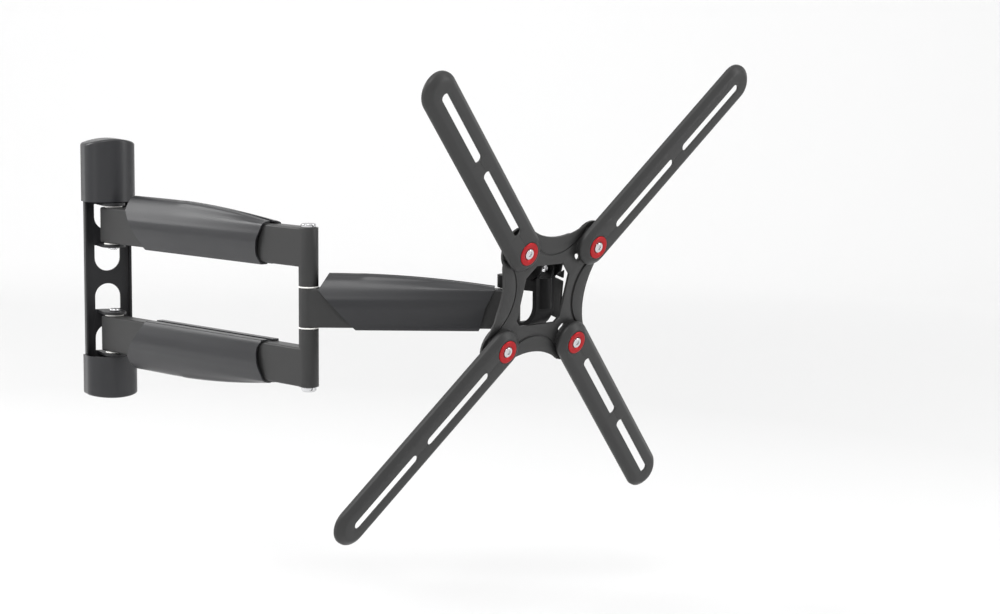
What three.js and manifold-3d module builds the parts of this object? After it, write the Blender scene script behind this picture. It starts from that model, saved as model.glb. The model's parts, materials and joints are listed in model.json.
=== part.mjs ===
// Full motion TV wall mount: a slim wall bracket carries two parallel arms on two pins, the arms meet a
// single forearm at a three-part elbow column, and the forearm carries a swivel bracket, a tilt yoke and a
// stamped centre plate with four slotted arms that bolt to the back of a television.
// Millimetres. +X right along the wall, +Y into the wall, +Z up. The origin is on the wall face,
// on the bracket's centre line, midway between the two arms.
import * as THREE from 'three';
import { mergeVertices } from 'three/addons/utils/BufferGeometryUtils.js';
import Module from 'manifold-3d';

const wasm = await Module();
wasm.setup();

// ---- clearances -----------------------------------------------------------------------------------
const GAP = 0.3;                    // between touching pieces
const PIN_CLEARANCE = 0.3;          // round a pin in its bore, on the radius

// ---- pivots ---------------------------------------------------------------------------------------
const PIN_RADIUS = 4;
const BUSH_FLANGE_RADIUS = 10.2;
const BUSH_FLANGE_THICKNESS = 1.3;
const BUSH_SLEEVE_WALL = 1.5;
const BUSH_SLEEVE_LENGTH = 12;
const PIN_HEAD_RADIUS = 5.7;
const PIN_HEAD_HEIGHT = 3.5;
const PIN_CLIP_RADIUS = 5.7;
const PIN_CLIP_THICKNESS = 1.6;
const BOLT_HEAD_RADIUS = 7.7;
const BOLT_HEAD_HEIGHT = 4.2;

// ---- arm tubes ------------------------------------------------------------------------------------
const TUBE_WIDTH = 20;
const TUBE_HEIGHT = 39;
const TUBE_WALL = 2;
const TUBE_CORNER = 2.2;
const ARM_LENGTH = 344;             // wall pivot to elbow
const FOREARM_LENGTH = 200;         // elbow to head pivot
const ARM_END = 10.5;               // tube beyond the wall pivot
const COLUMN_TOP = 79.5;            // top of the elbow column above the middle of the forearm

// ---- wall bracket ---------------------------------------------------------------------------------
const PLATE_WIDTH = 52.5;
const PLATE_THICKNESS = 3;
const PLATE_TOP = 144;
const PLATE_BOTTOM = -118;
const RIM_HEIGHT = 8.5;
const RIM_THICKNESS = 2.4;
const STANDOFF = 28;                // wall face to pivot axis
const LUG_RADIUS = 13;
const LUG_THICKNESS = 3;
const CUTOUT_WIDTH = 29;
const CUTOUT_LENGTH = 28.5;
const WALL_HOLE_RADIUS = 4.2;
const WALL_HOLE_INSET = 14;         // wall screw holes from the ends of the plate
const CAP_WALL = 1.8;
const CAP_SIDE_DEPTH = 15;
const CAP_DEPTH = STANDOFF + 8;      // clears the pins' heads and clips
const TOP_CAP_ARCH = 5.5;           // rise of the domed end
const TOP_CAP_OVERHANG = 5;         // cap beyond the end of the plate, at its corners
const BOTTOM_CAP_ARCH = 2.5;
const BOTTOM_CAP_OVERHANG = 11;
const TOP_CAP_START = 85.3;
const BOTTOM_CAP_START = -85.3;

// ---- arm covers -----------------------------------------------------------------------------------
const COVER_WALL = 1.8;
const COVER_BULGE = 4.6;            // how far the side swells past its own foot
const COVER_RIDGE = 15.3;           // height of the cable channel above the tube
const COVER_RIDGE_END = 2.4;

// ---- head -----------------------------------------------------------------------------------------
const HEAD_WIDTH = 26;
const LUG_TOP_HEIGHT = 12.6;        // bracket above the forearm's pocket
const LUG_BOTTOM_HEIGHT = 5.6;
const POCKET_FRONT = 14.5;          // depth of the forearm's pocket ahead of the pivot
const WEB_BACK = 41;                // upright web ahead of the pivot
const WEB_THICKNESS = 5;
const CORNER_RADIUS = 19;           // inner radius where the web turns back to the lower lug
const CORNER_CENTRE_UP = 8;
const HEEL = 15.4;                  // where the sloping underside meets the lower lug
const CHIN_ANGLE = -53;             // end of the outer corner
const RIB_RADIUS = 8;
const RIB_BOTTOM = 4;
const TILT_AXIS_FORWARD = 40;
const TILT_AXIS_UP = 43.5;
const CHEEK_INNER = 8;
const CHEEK_THICKNESS = 4;
const CHEEK_RADIUS = 9;
const TILT_BOLT_RADIUS = 3;
const TILT_HEAD_RADIUS = 4.6;
const TILT_HEAD_HEIGHT = 3.4;
const TILT_NUT_RADIUS = 5.4;
const TILT_NUT_HEIGHT = 4;
const TILT_WASHER_RADIUS = 6;
const TILT_WASHER_THICKNESS = 0.8;
const EAR_THICKNESS = 2.5;
const EAR_RADIUS = 11;
const GUARD_RADIUS = 15;            // side flanges round the line of the tilt bolts
const GUARD_HOLE_RADIUS = 4.2;
const GUARD_HOLE_FORWARD = 3.5;
const GUARD_SLOT_RADIUS = 12.4;
const GUARD_SLOT_WIDTH = 3;
const GUARD_SLOT_ANGLES = [[18, 42], [-24, 4]];
const GUARD_VENT = [-2, 11.5, -11];  // straight slot below: ends ahead of the tilt axis, and its height
const GUARD_BOTTOM = 2.5;           // flange's lower edge above the opening's

// ---- centre plate ---------------------------------------------------------------------------------
const PLATE_OFFSET_FORWARD = 30;    // tilt axis to the front of the arm washers
const PLATE_OFFSET_SIDE = -6;       // plate centre beside the head pivot
const PLATE_OFFSET_DOWN = 21.7;     // tilt axis down to the plate centre
const HUB_SPACING = 100;
const CENTRE_THICKNESS = 2.5;
const CENTRE_FACE = -13.7;          // front of the sheet, from the front of the arm washers
const WAIST = 59.4;                 // centre to the middle of each hollow side
const SIDE_RADIUS = 75.7;
const LOBE_RADIUS = 23;
const BEAD_RADIUS = 45;             // arc where each side steps up to its raised crescent
const BEAD_INSIDE = 42;             // centre to the middle of that arc
const BEAD_WIDTH = 2.2;
const BEAD_DEPTH = 0.9;
const CRESCENT_RISE = 0.8;
const CORNER_SLOT_INSET = 13;       // small slots, in from each hub along both axes
const CORNER_SLOT_WIDTH = 5;
const CORNER_SLOT_LENGTH = 9;
const LOBE_PAD_RADIUS = 18;
const OPENING = 31;                 // half of the opening
const OPENING_CHAMFER = 12;

// ---- television arms ------------------------------------------------------------------------------
const TV_ARM_WIDTH = 40;
const TV_ARM_DEPTH = 8.8;
const TV_ARM_WALL = 2.2;
const TV_ARM_SLOPE = 6;
const TV_ARM_SLOPE_DEPTH = 5;
const SLOT_WIDTH = 8.6;
const HUB_RADIUS_FROM_CENTRE = HUB_SPACING / Math.SQRT2;
const SLOT_RADII = [[100, 191], [207, 298]];  // slot ends from the plate centre
const TV_ARM_TIP = 318;
const WASHER_RADIUS = 11.5;
const WASHER_THICKNESS = 2.6;
const WASHER_PROUD = 0.8;
const SCREW_RADIUS = 4;
const SCREW_HEAD_RADIUS = 5.2;
const SCREW_HEAD_HEIGHT = 2;
const SCREW_PROUD = 0.5;            // screw head above its washer
const HEX_KEY_RADIUS = 2.6;
const ARM_NUT_RADIUS = 7.2;
const ARM_NUT_HEIGHT = 6;

// ---- pose -----------------------------------------------------------------------------------------
const DEGREE = Math.PI / 180;
const ARM_ANGLE = 72;               // arms from the wall plane
const FOREARM_ANGLE = 25.6;         // forearm from the wall plane
const HEAD_YAW = 22;                // head's forward direction from straight out of the wall
const TILT = 15.7;                  // plate tipped forward

// ---- materials ------------------------------------------------------------------------------------
function finish(color, roughness, metalness) {
  return new THREE.MeshStandardMaterial({ color, roughness, metalness });
}
const powderCoat = finish('#2b2b2c', 0.55, 0.3);
const texturedCoat = finish('#303031', 0.7, 0.3);
const satinPlastic = finish('#45464a', 0.4, 0);
const nylon = finish('#f0efec', 0.5, 0);
const chrome = finish('#c9cacc', 0.22, 1);
const redAnodised = finish('#a3232b', 0.35, 0.5);

// ---- solids ---------------------------------------------------------------------------------------
function solid(geometry) {
  const bare = geometry.clone();
  bare.deleteAttribute('normal');
  bare.deleteAttribute('uv');
  const merged = mergeVertices(bare, 1e-4);
  const index = merged.index.array;
  return new wasm.Manifold(new wasm.Mesh({
    numProp: 3,
    vertProperties: new Float32Array(merged.attributes.position.array),
    triVerts: new Uint32Array(index),
  }));
}

function geometryOf(manifold) {
  const mesh = manifold.getMesh();
  const geometry = new THREE.BufferGeometry();
  geometry.setAttribute('position', new THREE.BufferAttribute(new Float32Array(mesh.vertProperties), 3));
  geometry.setIndex(new THREE.BufferAttribute(new Uint32Array(mesh.triVerts), 1));
  geometry.computeVertexNormals();
  return geometry;
}

function place(group, name, manifold, material) {
  const mesh = new THREE.Mesh(geometryOf(manifold), material);
  mesh.name = name;
  group.add(mesh);
}

function box(x0, x1, y0, y1, z0, z1) {
  const geometry = new THREE.BoxGeometry(x1 - x0, y1 - y0, z1 - z0);
  geometry.translate((x0 + x1) / 2, (y0 + y1) / 2, (z0 + z1) / 2);
  return solid(geometry);
}

// A round bar along Z, centred on x, y.
function barZ(radius, x, y, z0, z1, sides = 24) {
  const geometry = new THREE.CylinderGeometry(radius, radius, z1 - z0, sides);
  geometry.rotateX(Math.PI / 2);
  geometry.translate(x, y, (z0 + z1) / 2);
  return solid(geometry);
}

// A round bar along X, centred on y, z.
function barX(radius, x0, x1, y, z, sides = 24) {
  const geometry = new THREE.CylinderGeometry(radius, radius, x1 - x0, sides);
  geometry.rotateZ(Math.PI / 2);
  geometry.translate((x0 + x1) / 2, y, z);
  return solid(geometry);
}

// A round bar along Y, centred on x, z.
function barY(radius, x, y0, y1, z, sides = 20) {
  const geometry = new THREE.CylinderGeometry(radius, radius, y1 - y0, sides);
  geometry.translate(x, (y0 + y1) / 2, z);
  return solid(geometry);
}

function shapeOf(points) {
  return new THREE.Shape(points.map(([a, b]) => new THREE.Vector2(a, b)));
}

function extruded(shape, depth, curveSegments = 6) {
  return new THREE.ExtrudeGeometry(shape, { depth, bevelEnabled: false, curveSegments });
}

// An outline in x, y carried up from z0 to z1.
function slabZ(shape, z0, z1, curveSegments) {
  const geometry = extruded(shape, z1 - z0, curveSegments);
  geometry.translate(0, 0, z0);
  return solid(geometry);
}

// An outline in x, z carried from y0 to y1.
function slabY(shape, y0, y1, curveSegments) {
  const geometry = extruded(shape, y1 - y0, curveSegments);
  geometry.rotateX(Math.PI / 2);
  geometry.translate(0, y1, 0);
  return solid(geometry);
}

// An outline in y, z carried from x0 to x1.
function slabX(shape, x0, x1, curveSegments) {
  const geometry = extruded(shape, x1 - x0, curveSegments);
  geometry.rotateX(Math.PI / 2);
  geometry.rotateZ(Math.PI / 2);
  geometry.translate(x0, 0, 0);
  return solid(geometry);
}

function roundedRectangle(width, height, radius) {
  const w = width / 2;
  const h = height / 2;
  const shape = new THREE.Shape();
  shape.moveTo(-w + radius, -h);
  shape.lineTo(w - radius, -h);
  shape.absarc(w - radius, -h + radius, radius, -Math.PI / 2, 0);
  shape.lineTo(w, h - radius);
  shape.absarc(w - radius, h - radius, radius, 0, Math.PI / 2);
  shape.lineTo(-w + radius, h);
  shape.absarc(-w + radius, h - radius, radius, Math.PI / 2, Math.PI);
  shape.lineTo(-w, -h + radius);
  shape.absarc(-w + radius, -h + radius, radius, Math.PI, Math.PI * 1.5);
  return shape;
}

// A slot outline along the first axis from a to b, with round ends.
function slotOutline(a, b, width) {
  const r = width / 2;
  const shape = new THREE.Shape();
  shape.moveTo(a + r, -r);
  shape.lineTo(b - r, -r);
  shape.absarc(b - r, 0, r, -Math.PI / 2, Math.PI / 2);
  shape.lineTo(a + r, r);
  shape.absarc(a + r, 0, r, Math.PI / 2, Math.PI * 1.5);
  return shape;
}

// A turned piece about Z: the profile is a list of radius, height pairs that closes on itself.
function turned(profile, x, y, sides = 24) {
  const closed = [...profile, profile[0]].map(([r, z]) => new THREE.Vector2(r, z));
  const geometry = new THREE.LatheGeometry(closed, sides);
  geometry.rotateX(Math.PI / 2);
  geometry.translate(x, y, 0);
  return solid(geometry);
}

// ---- pivot pieces ---------------------------------------------------------------------------------
const BUSH_BORE = PIN_RADIUS + PIN_CLEARANCE;
const BUSH_SLEEVE_RADIUS = BUSH_BORE + BUSH_SLEEVE_WALL;
const KNUCKLE_BORE = BUSH_SLEEVE_RADIUS + GAP;
const PIVOT_GAP = BUSH_FLANGE_THICKNESS + 2 * GAP;   // between a knuckle and the lug beside it

// A flanged bush whose flange lies just outside the knuckle face at z; up is +1 above it and -1 below.
function bush(x, y, z, up) {
  const flangeStart = z + up * GAP;
  const flangeEnd = flangeStart + up * BUSH_FLANGE_THICKNESS;
  const sleeveEnd = z - up * BUSH_SLEEVE_LENGTH;
  const profile = [
    [BUSH_BORE, sleeveEnd],
    [BUSH_SLEEVE_RADIUS, sleeveEnd],
    [BUSH_SLEEVE_RADIUS, flangeStart],
    [BUSH_FLANGE_RADIUS, flangeStart],
    [BUSH_FLANGE_RADIUS, flangeEnd],
    [BUSH_BORE, flangeEnd],
  ];
  return turned(up > 0 ? profile : profile.reverse(), x, y);
}

// A headed pin from the head seat at zTop down to zBottom.
function headedPin(x, y, zTop, zBottom, headRadius, headHeight) {
  return turned([
    [0, zBottom],
    [PIN_RADIUS - 0.6, zBottom],
    [PIN_RADIUS, zBottom + 0.6],
    [PIN_RADIUS, zTop],
    [headRadius, zTop],
    [headRadius, zTop + headHeight * 0.6],
    [headRadius - 1.2, zTop + headHeight],
    [0, zTop + headHeight],
  ], x, y);
}

function ring(x, y, z0, z1, inner, outer, sides = 24) {
  return barZ(outer, x, y, z0, z1, sides).subtract(barZ(inner, x, y, z0 - 1, z1 + 1, 20));
}

// ---- wall bracket ---------------------------------------------------------------------------------
const ARM_TOP = COLUMN_TOP;
const ARM_BOTTOM = COLUMN_TOP - TUBE_HEIGHT;
const INNER_LUG = ARM_BOTTOM - PIVOT_GAP;            // face of the lug between the arms
const OUTER_LUG = ARM_TOP + PIVOT_GAP;               // face of the lug beyond the arm

// One lug: a tongue with a round end that stands out from the plate between two heights.
function lugTongue(z0, z1) {
  const shape = new THREE.Shape();
  shape.moveTo(-LUG_RADIUS, -PLATE_THICKNESS / 2);
  shape.lineTo(-LUG_RADIUS, -STANDOFF);
  shape.absarc(0, -STANDOFF, LUG_RADIUS, Math.PI, Math.PI * 2);
  shape.lineTo(LUG_RADIUS, -PLATE_THICKNESS / 2);
  return slabZ(shape, z0, z1, 10).subtract(
    barZ(BUSH_BORE, 0, -STANDOFF, z0 - 1, z1 + 1));
}

function lugCutout(fold, direction) {
  const r = CUTOUT_WIDTH / 2;
  const roundCentre = fold + direction * (CUTOUT_LENGTH - r);
  const middle = box(-r, r, -PLATE_THICKNESS - 1, 1, Math.min(fold, roundCentre), Math.max(fold, roundCentre));
  return middle.add(barY(r, 0, -PLATE_THICKNESS - 1, 1, roundCentre, 32));
}

function wallPlate() {
  const w = PLATE_WIDTH / 2;
  let plate = box(-w, w, -PLATE_THICKNESS, 0, PLATE_BOTTOM, PLATE_TOP);
  for (const side of [-1, 1]) {
    const edges = [side * w, side * (w - RIM_THICKNESS)].sort((a, b) => a - b);
    plate = plate.add(box(edges[0], edges[1], -RIM_HEIGHT, 0, PLATE_BOTTOM, PLATE_TOP));
  }
  for (const end of [-1, 1]) {
    const folds = [
      [end * INNER_LUG, end * (INNER_LUG - LUG_THICKNESS)],
      [end * OUTER_LUG, end * (OUTER_LUG + LUG_THICKNESS)],
    ];
    for (const [face, back] of folds) {
      const fold = Math.abs(face) < Math.abs(back) ? face : back;
      plate = plate.subtract(lugCutout(fold, -end));
      plate = plate.add(lugTongue(Math.min(face, back), Math.max(face, back)));
    }
  }
  for (const [end, length] of [[PLATE_TOP, -1], [PLATE_BOTTOM, 1]]) {
    for (const x of [-CUTOUT_WIDTH / 3, CUTOUT_WIDTH / 3]) {
      plate = plate.subtract(barY(WALL_HOLE_RADIUS, x, -PLATE_THICKNESS - 1, 1, end + length * WALL_HOLE_INSET));
    }
  }
  return plate;
}

// Plan of a cap: straight sides, then a bowed front.
function capPlan(halfWidth, sideDepth, depth, back) {
  const shape = new THREE.Shape();
  shape.moveTo(halfWidth, back);
  shape.lineTo(halfWidth, -sideDepth);
  shape.absellipse(0, -sideDepth, halfWidth, depth - sideDepth, 0, -Math.PI, true);
  shape.lineTo(-halfWidth, back);
  return shape;
}

// Front view of a cap: straight to its corners, then an arched end.
function capFront(halfWidth, start, corner, arch) {
  const shape = new THREE.Shape();
  shape.moveTo(-halfWidth, start);
  shape.lineTo(-halfWidth, corner);
  shape.quadraticCurveTo(0, corner + 2 * arch, halfWidth, corner);
  shape.lineTo(halfWidth, start);
  return shape;
}

// One end cap, opening toward the arms; up is +1 for the top cap and -1 for the bottom cap.
function endCap(start, plateEnd, up, overhang, arch) {
  const inner = PLATE_WIDTH / 2 + GAP;
  const outer = inner + CAP_WALL;
  const corner = plateEnd + up * overhang;
  const low = Math.min(start, corner) - 10;
  const high = Math.max(start, corner) + 10;
  const body = slabZ(capPlan(outer, CAP_SIDE_DEPTH, CAP_DEPTH, 0), low, high, 12)
    .intersect(slabY(capFront(outer + 1, start, corner, up * arch), -CAP_DEPTH - 1, 1, 8));
  const cavityEnd = corner - up * CAP_WALL;
  const cavity = slabZ(capPlan(inner, CAP_SIDE_DEPTH, CAP_DEPTH - CAP_WALL, 2), low, high, 12)
    .intersect(slabY(capFront(inner + 1, start - up, cavityEnd, up * arch), -CAP_DEPTH - 1, 3, 8));
  return body.subtract(cavity);
}

const wall = new THREE.Group();
wall.name = 'wall_bracket';
place(wall, 'wall_plate', wallPlate(), powderCoat);
place(wall, 'top_cap', endCap(TOP_CAP_START, PLATE_TOP, 1, TOP_CAP_OVERHANG, TOP_CAP_ARCH), satinPlastic);
place(wall, 'bottom_cap',
  endCap(BOTTOM_CAP_START, PLATE_BOTTOM, -1, BOTTOM_CAP_OVERHANG, BOTTOM_CAP_ARCH), satinPlastic);
for (const [name, top] of [['upper', OUTER_LUG + LUG_THICKNESS], ['lower', -INNER_LUG + LUG_THICKNESS]]) {
  const lugSpan = OUTER_LUG - INNER_LUG + 2 * LUG_THICKNESS;
  const bottom = top - lugSpan;
  const clipTop = bottom - GAP;
  const clipBottom = clipTop - PIN_CLIP_THICKNESS;
  place(wall, `${name}_wall_pin`,
    headedPin(0, -STANDOFF, top + GAP, clipBottom - 1, PIN_HEAD_RADIUS, PIN_HEAD_HEIGHT), chrome);
  place(wall, `${name}_pin_clip`,
    ring(0, -STANDOFF, clipBottom, clipTop, PIN_RADIUS + GAP, PIN_CLIP_RADIUS), chrome);
}

// ---- arm tubes ------------------------------------------------------------------------------------
// A rectangular tube along X from x0 to x1 about height z, hollow between h0 and h1.
function tube(x0, x1, z, h0, h1) {
  const outer = slabX(roundedRectangle(TUBE_WIDTH, TUBE_HEIGHT, TUBE_CORNER), x0, x1, 3).translate(0, 0, z);
  const hollow = box(h0, h1, -TUBE_WIDTH / 2 + TUBE_WALL, TUBE_WIDTH / 2 - TUBE_WALL,
    z - TUBE_HEIGHT / 2 + TUBE_WALL, z + TUBE_HEIGHT / 2 - TUBE_WALL);
  return { outer, hollow };
}

const HOLLOW_MARGIN = 15;           // solid metal round each pivot
const DRAIN_RADIUS = 3;

// One long arm; up is +1 for the upper arm and -1 for the lower one.
function longArm(up) {
  const middle = up * (ARM_TOP + ARM_BOTTOM) / 2;
  const columnEnd = up * (TUBE_HEIGHT / 2 + PIVOT_GAP);
  const columnRange = [columnEnd, up * COLUMN_TOP].sort((a, b) => a - b);
  const { outer, hollow } = tube(-ARM_END, ARM_LENGTH, middle, HOLLOW_MARGIN, ARM_LENGTH - HOLLOW_MARGIN);
  const drainEdge = up * ARM_BOTTOM;
  const drain = barZ(DRAIN_RADIUS, ARM_LENGTH / 2, 0,
    Math.min(drainEdge - up, drainEdge + up * TUBE_WALL * 2),
    Math.max(drainEdge - up, drainEdge + up * TUBE_WALL * 2), 12);
  return outer
    .add(barZ(TUBE_WIDTH / 2, ARM_LENGTH, 0, columnRange[0], columnRange[1], 32))
    .subtract(hollow)
    .subtract(drain)
    .subtract(barZ(KNUCKLE_BORE, 0, 0, middle - TUBE_HEIGHT, middle + TUBE_HEIGHT))
    .subtract(barZ(BUSH_BORE, ARM_LENGTH, 0, columnRange[0] - 1, columnRange[1] + 1));
}

function forearmTube() {
  const { outer, hollow } = tube(0, FOREARM_LENGTH, 0, HOLLOW_MARGIN, FOREARM_LENGTH - HOLLOW_MARGIN);
  const half = TUBE_HEIGHT / 2;
  let body = outer;
  for (const x of [0, FOREARM_LENGTH]) {
    body = body.add(barZ(TUBE_WIDTH / 2, x, 0, -half, half, 32));
  }
  for (const x of [0, FOREARM_LENGTH]) {
    body = body.subtract(barZ(KNUCKLE_BORE, x, 0, -half - 1, half + 1));
  }
  return body
    .subtract(hollow)
    .subtract(barZ(DRAIN_RADIUS, FOREARM_LENGTH / 2, 0, -half - 1, -half + TUBE_WALL * 2, 12));
}

// ---- arm covers -----------------------------------------------------------------------------------
// Half section of a cover: side y against height above the tube's plain edge. swell scales the side's
// bulge, ridge is the height of the cable channel above the tube. The wall is carried round both faces.
function coverSection(swell, ridge) {
  const h = TUBE_HEIGHT;
  const foot = TUBE_WIDTH / 2 + GAP;
  const parting = GAP / 2;
  const w = COVER_WALL;
  const rise = ridge - COVER_RIDGE_END;
  const b = COVER_BULGE * swell;
  const inner = [
    [parting, -GAP],
    [foot, -GAP],
    [foot + 0.45 * b, 0.2 * h],
    [foot + 0.9 * b, 0.48 * h],
    [foot + b, 0.68 * h],
    [foot + 0.8 * b, 0.88 * h],
    [foot + 0.35 * b, h + GAP + 0.3 * rise],
    [foot * 0.62, h + GAP + 0.78 * rise],
    [parting, h + GAP + rise],
  ];
  const outer = [
    [parting, -GAP - w],
    [foot - 0.4, -GAP - w],
    [foot + w + 0.45 * b, 0.17 * h],
    [foot + w + 0.9 * b, 0.46 * h],
    [foot + w + b, 0.68 * h],
    [foot + w + 0.8 * b, 0.9 * h],
    [foot + w * 0.85 + 0.35 * b, h + GAP + 0.5 * w + 0.34 * rise],
    [foot * 0.68, h + GAP + w + 0.8 * rise],
    [parting, h + GAP + w + rise],
  ];
  return [...outer, ...inner.reverse()];
}

// Carries the section along X through the stations and closes both ends.
function loft(stations, sectionAt) {
  const clockwise = THREE.ShapeUtils.isClockWise(sectionAt(stations[0]).map(([y, z]) => new THREE.Vector2(y, z)));
  const rings = stations.map((x) => {
    const section = sectionAt(x).map(([y, z]) => [x, y, z]);
    return clockwise ? section.reverse() : section;
  });
  const n = rings[0].length;
  const index = [];
  for (let i = 0; i + 1 < rings.length; i += 1) {
    for (let j = 0; j < n; j += 1) {
      const a = i * n + j;
      const b = i * n + (j + 1) % n;
      index.push(a, b, a + n, b, b + n, a + n);
    }
  }
  const last = (rings.length - 1) * n;
  for (const [end, offset] of [[rings[0], 0], [rings[rings.length - 1], last]]) {
    const outline = end.map(([, y, z]) => new THREE.Vector2(y, z));
    for (const [a, b, c] of THREE.ShapeUtils.triangulateShape(outline, [])) {
      index.push(offset + a, offset + (offset ? b : c), offset + (offset ? c : b));
    }
  }
  const geometry = new THREE.BufferGeometry();
  geometry.setAttribute('position', new THREE.Float32BufferAttribute(rings.flat(2), 3));
  geometry.setIndex(index);
  return solid(geometry);
}

// Half of a cover. outline is its side view; the ridge is full height near start and sinks to the end.
function coverHalf(side, start, end, outline, crest) {
  const stations = [0, 0.14, 0.28, 0.42, 0.56, 0.7, 0.84, 1].map((t) => start + t * (end - start));
  const sectionAt = (x) => {
    const t = Math.max(0, (x - crest) / (end - crest));
    const ridge = COVER_RIDGE_END + (COVER_RIDGE - COVER_RIDGE_END) * (1 - t * t);
    const swell = 1 - 0.45 * Math.max(0, (x - start) / (end - start)) ** 1.5;
    return coverSection(swell, ridge).map(([y, z]) => [side * y, z]);
  };
  return loft(stations, sectionAt).intersect(slabY(shapeOf(outline), -60, 60));
}

// Side views of the covers: distance along the arm against height above the tube's plain edge.
const ABOVE = TUBE_HEIGHT + COVER_RIDGE + 10;
const BELOW = -8;
const ARM_COVER_START = 41;
const ARM_COVER_END = 285;
const armCoverOutline = [
  [ARM_COVER_START, TUBE_HEIGHT + 1],
  [ARM_COVER_START + 14, 24],
  [ARM_COVER_START + 34, 0],
  [ARM_COVER_START + 40, BELOW],
  [ARM_COVER_END, BELOW],
  [ARM_COVER_END - 5, 0],
  [ARM_COVER_END - 9.5, 6],
  [ARM_COVER_END - 10, 12],
  [ARM_COVER_END - 8, 23],
  [ARM_COVER_END, TUBE_HEIGHT + 1],
  [ARM_COVER_END + 3, ABOVE],
  [ARM_COVER_START + 5, ABOVE],
];
const FOREARM_COVER_START = 10.3;
const FOREARM_COVER_END = 184.5;
const forearmCoverOutline = [
  [FOREARM_COVER_START, TUBE_HEIGHT - 1],
  [FOREARM_COVER_START + 35, 0],
  [FOREARM_COVER_START + 42, BELOW],
  [FOREARM_COVER_END - 17, BELOW],
  [FOREARM_COVER_END - 14.5, 0],
  [FOREARM_COVER_END - 9, 21],
  [FOREARM_COVER_END, TUBE_HEIGHT],
  [FOREARM_COVER_END + 4, ABOVE],
  [FOREARM_COVER_START + 17, ABOVE],
];

const armPair = new THREE.Group();
armPair.name = 'arm_pair';
armPair.position.set(0, -STANDOFF, 0);
armPair.rotation.z = -ARM_ANGLE * DEGREE;
place(armPair, 'upper_arm_tube', longArm(1), texturedCoat);
place(armPair, 'lower_arm_tube', longArm(-1), texturedCoat);
for (const [face, side] of [['front', -1], ['back', 1]]) {
  const half = coverHalf(side, ARM_COVER_START, ARM_COVER_END + 6, armCoverOutline, 100);
  place(armPair, `upper_arm_cover_${face}`, half.translate(0, 0, ARM_BOTTOM), satinPlastic);
  place(armPair, `lower_arm_cover_${face}`, half.mirror([0, 0, 1]).translate(0, 0, -ARM_BOTTOM), satinPlastic);
}
for (const [name, face, up] of [
  ['upper_wall_bush_top', ARM_TOP, 1], ['upper_wall_bush_bottom', ARM_BOTTOM, -1],
  ['lower_wall_bush_top', -ARM_BOTTOM, 1], ['lower_wall_bush_bottom', -ARM_TOP, -1]]) {
  place(armPair, name, bush(0, 0, face, up), nylon);
}
place(armPair, 'elbow_bolt',
  headedPin(ARM_LENGTH, 0, COLUMN_TOP + GAP, -COLUMN_TOP - 1, BOLT_HEAD_RADIUS, BOLT_HEAD_HEIGHT), chrome);
place(armPair, 'elbow_cap_nut', turned([
  [0, -COLUMN_TOP - BOLT_HEAD_HEIGHT - 1],
  [BOLT_HEAD_RADIUS - 1.2, -COLUMN_TOP - BOLT_HEAD_HEIGHT - 1],
  [BOLT_HEAD_RADIUS, -COLUMN_TOP - BOLT_HEAD_HEIGHT + 0.6],
  [BOLT_HEAD_RADIUS, -COLUMN_TOP - GAP],
  [PIN_RADIUS + GAP, -COLUMN_TOP - GAP],
  [PIN_RADIUS + GAP, -COLUMN_TOP - 1 - GAP],
  [0, -COLUMN_TOP - 1 - GAP],
], ARM_LENGTH, 0), chrome);

// ---- forearm --------------------------------------------------------------------------------------
const forearm = new THREE.Group();
forearm.name = 'forearm';
forearm.position.set(ARM_LENGTH, 0, 0);
forearm.rotation.z = (ARM_ANGLE - FOREARM_ANGLE) * DEGREE;
armPair.add(forearm);
const FOREARM_HALF = TUBE_HEIGHT / 2;
place(forearm, 'forearm_tube', forearmTube(), texturedCoat);
for (const [face, side] of [['front', -1], ['back', 1]]) {
  const half = coverHalf(side, FOREARM_COVER_START, FOREARM_COVER_END + 4, forearmCoverOutline, 20);
  place(forearm, `forearm_cover_${face}`, half.translate(0, 0, -FOREARM_HALF), satinPlastic);
}
for (const [pivot, x] of [['elbow', 0], ['head', FOREARM_LENGTH]]) {
  for (const [name, up] of [['top', 1], ['bottom', -1]]) {
    place(forearm, `${pivot}_bush_${name}`, bush(x, 0, up * FOREARM_HALF, up), nylon);
  }
}

// ---- swivel head ----------------------------------------------------------------------------------
// In this group +X points forward out of the head and +Y to the right, seen from the front.
const POCKET = FOREARM_HALF + PIVOT_GAP;             // lug faces above and below the forearm
const HEAD_TOP = POCKET + LUG_TOP_HEIGHT;
const HEAD_BOTTOM = -POCKET - LUG_BOTTOM_HEIGHT;
const CORNER_FORWARD = WEB_BACK - CORNER_RADIUS;
const WEB_FRONT = WEB_BACK + WEB_THICKNESS;

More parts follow.
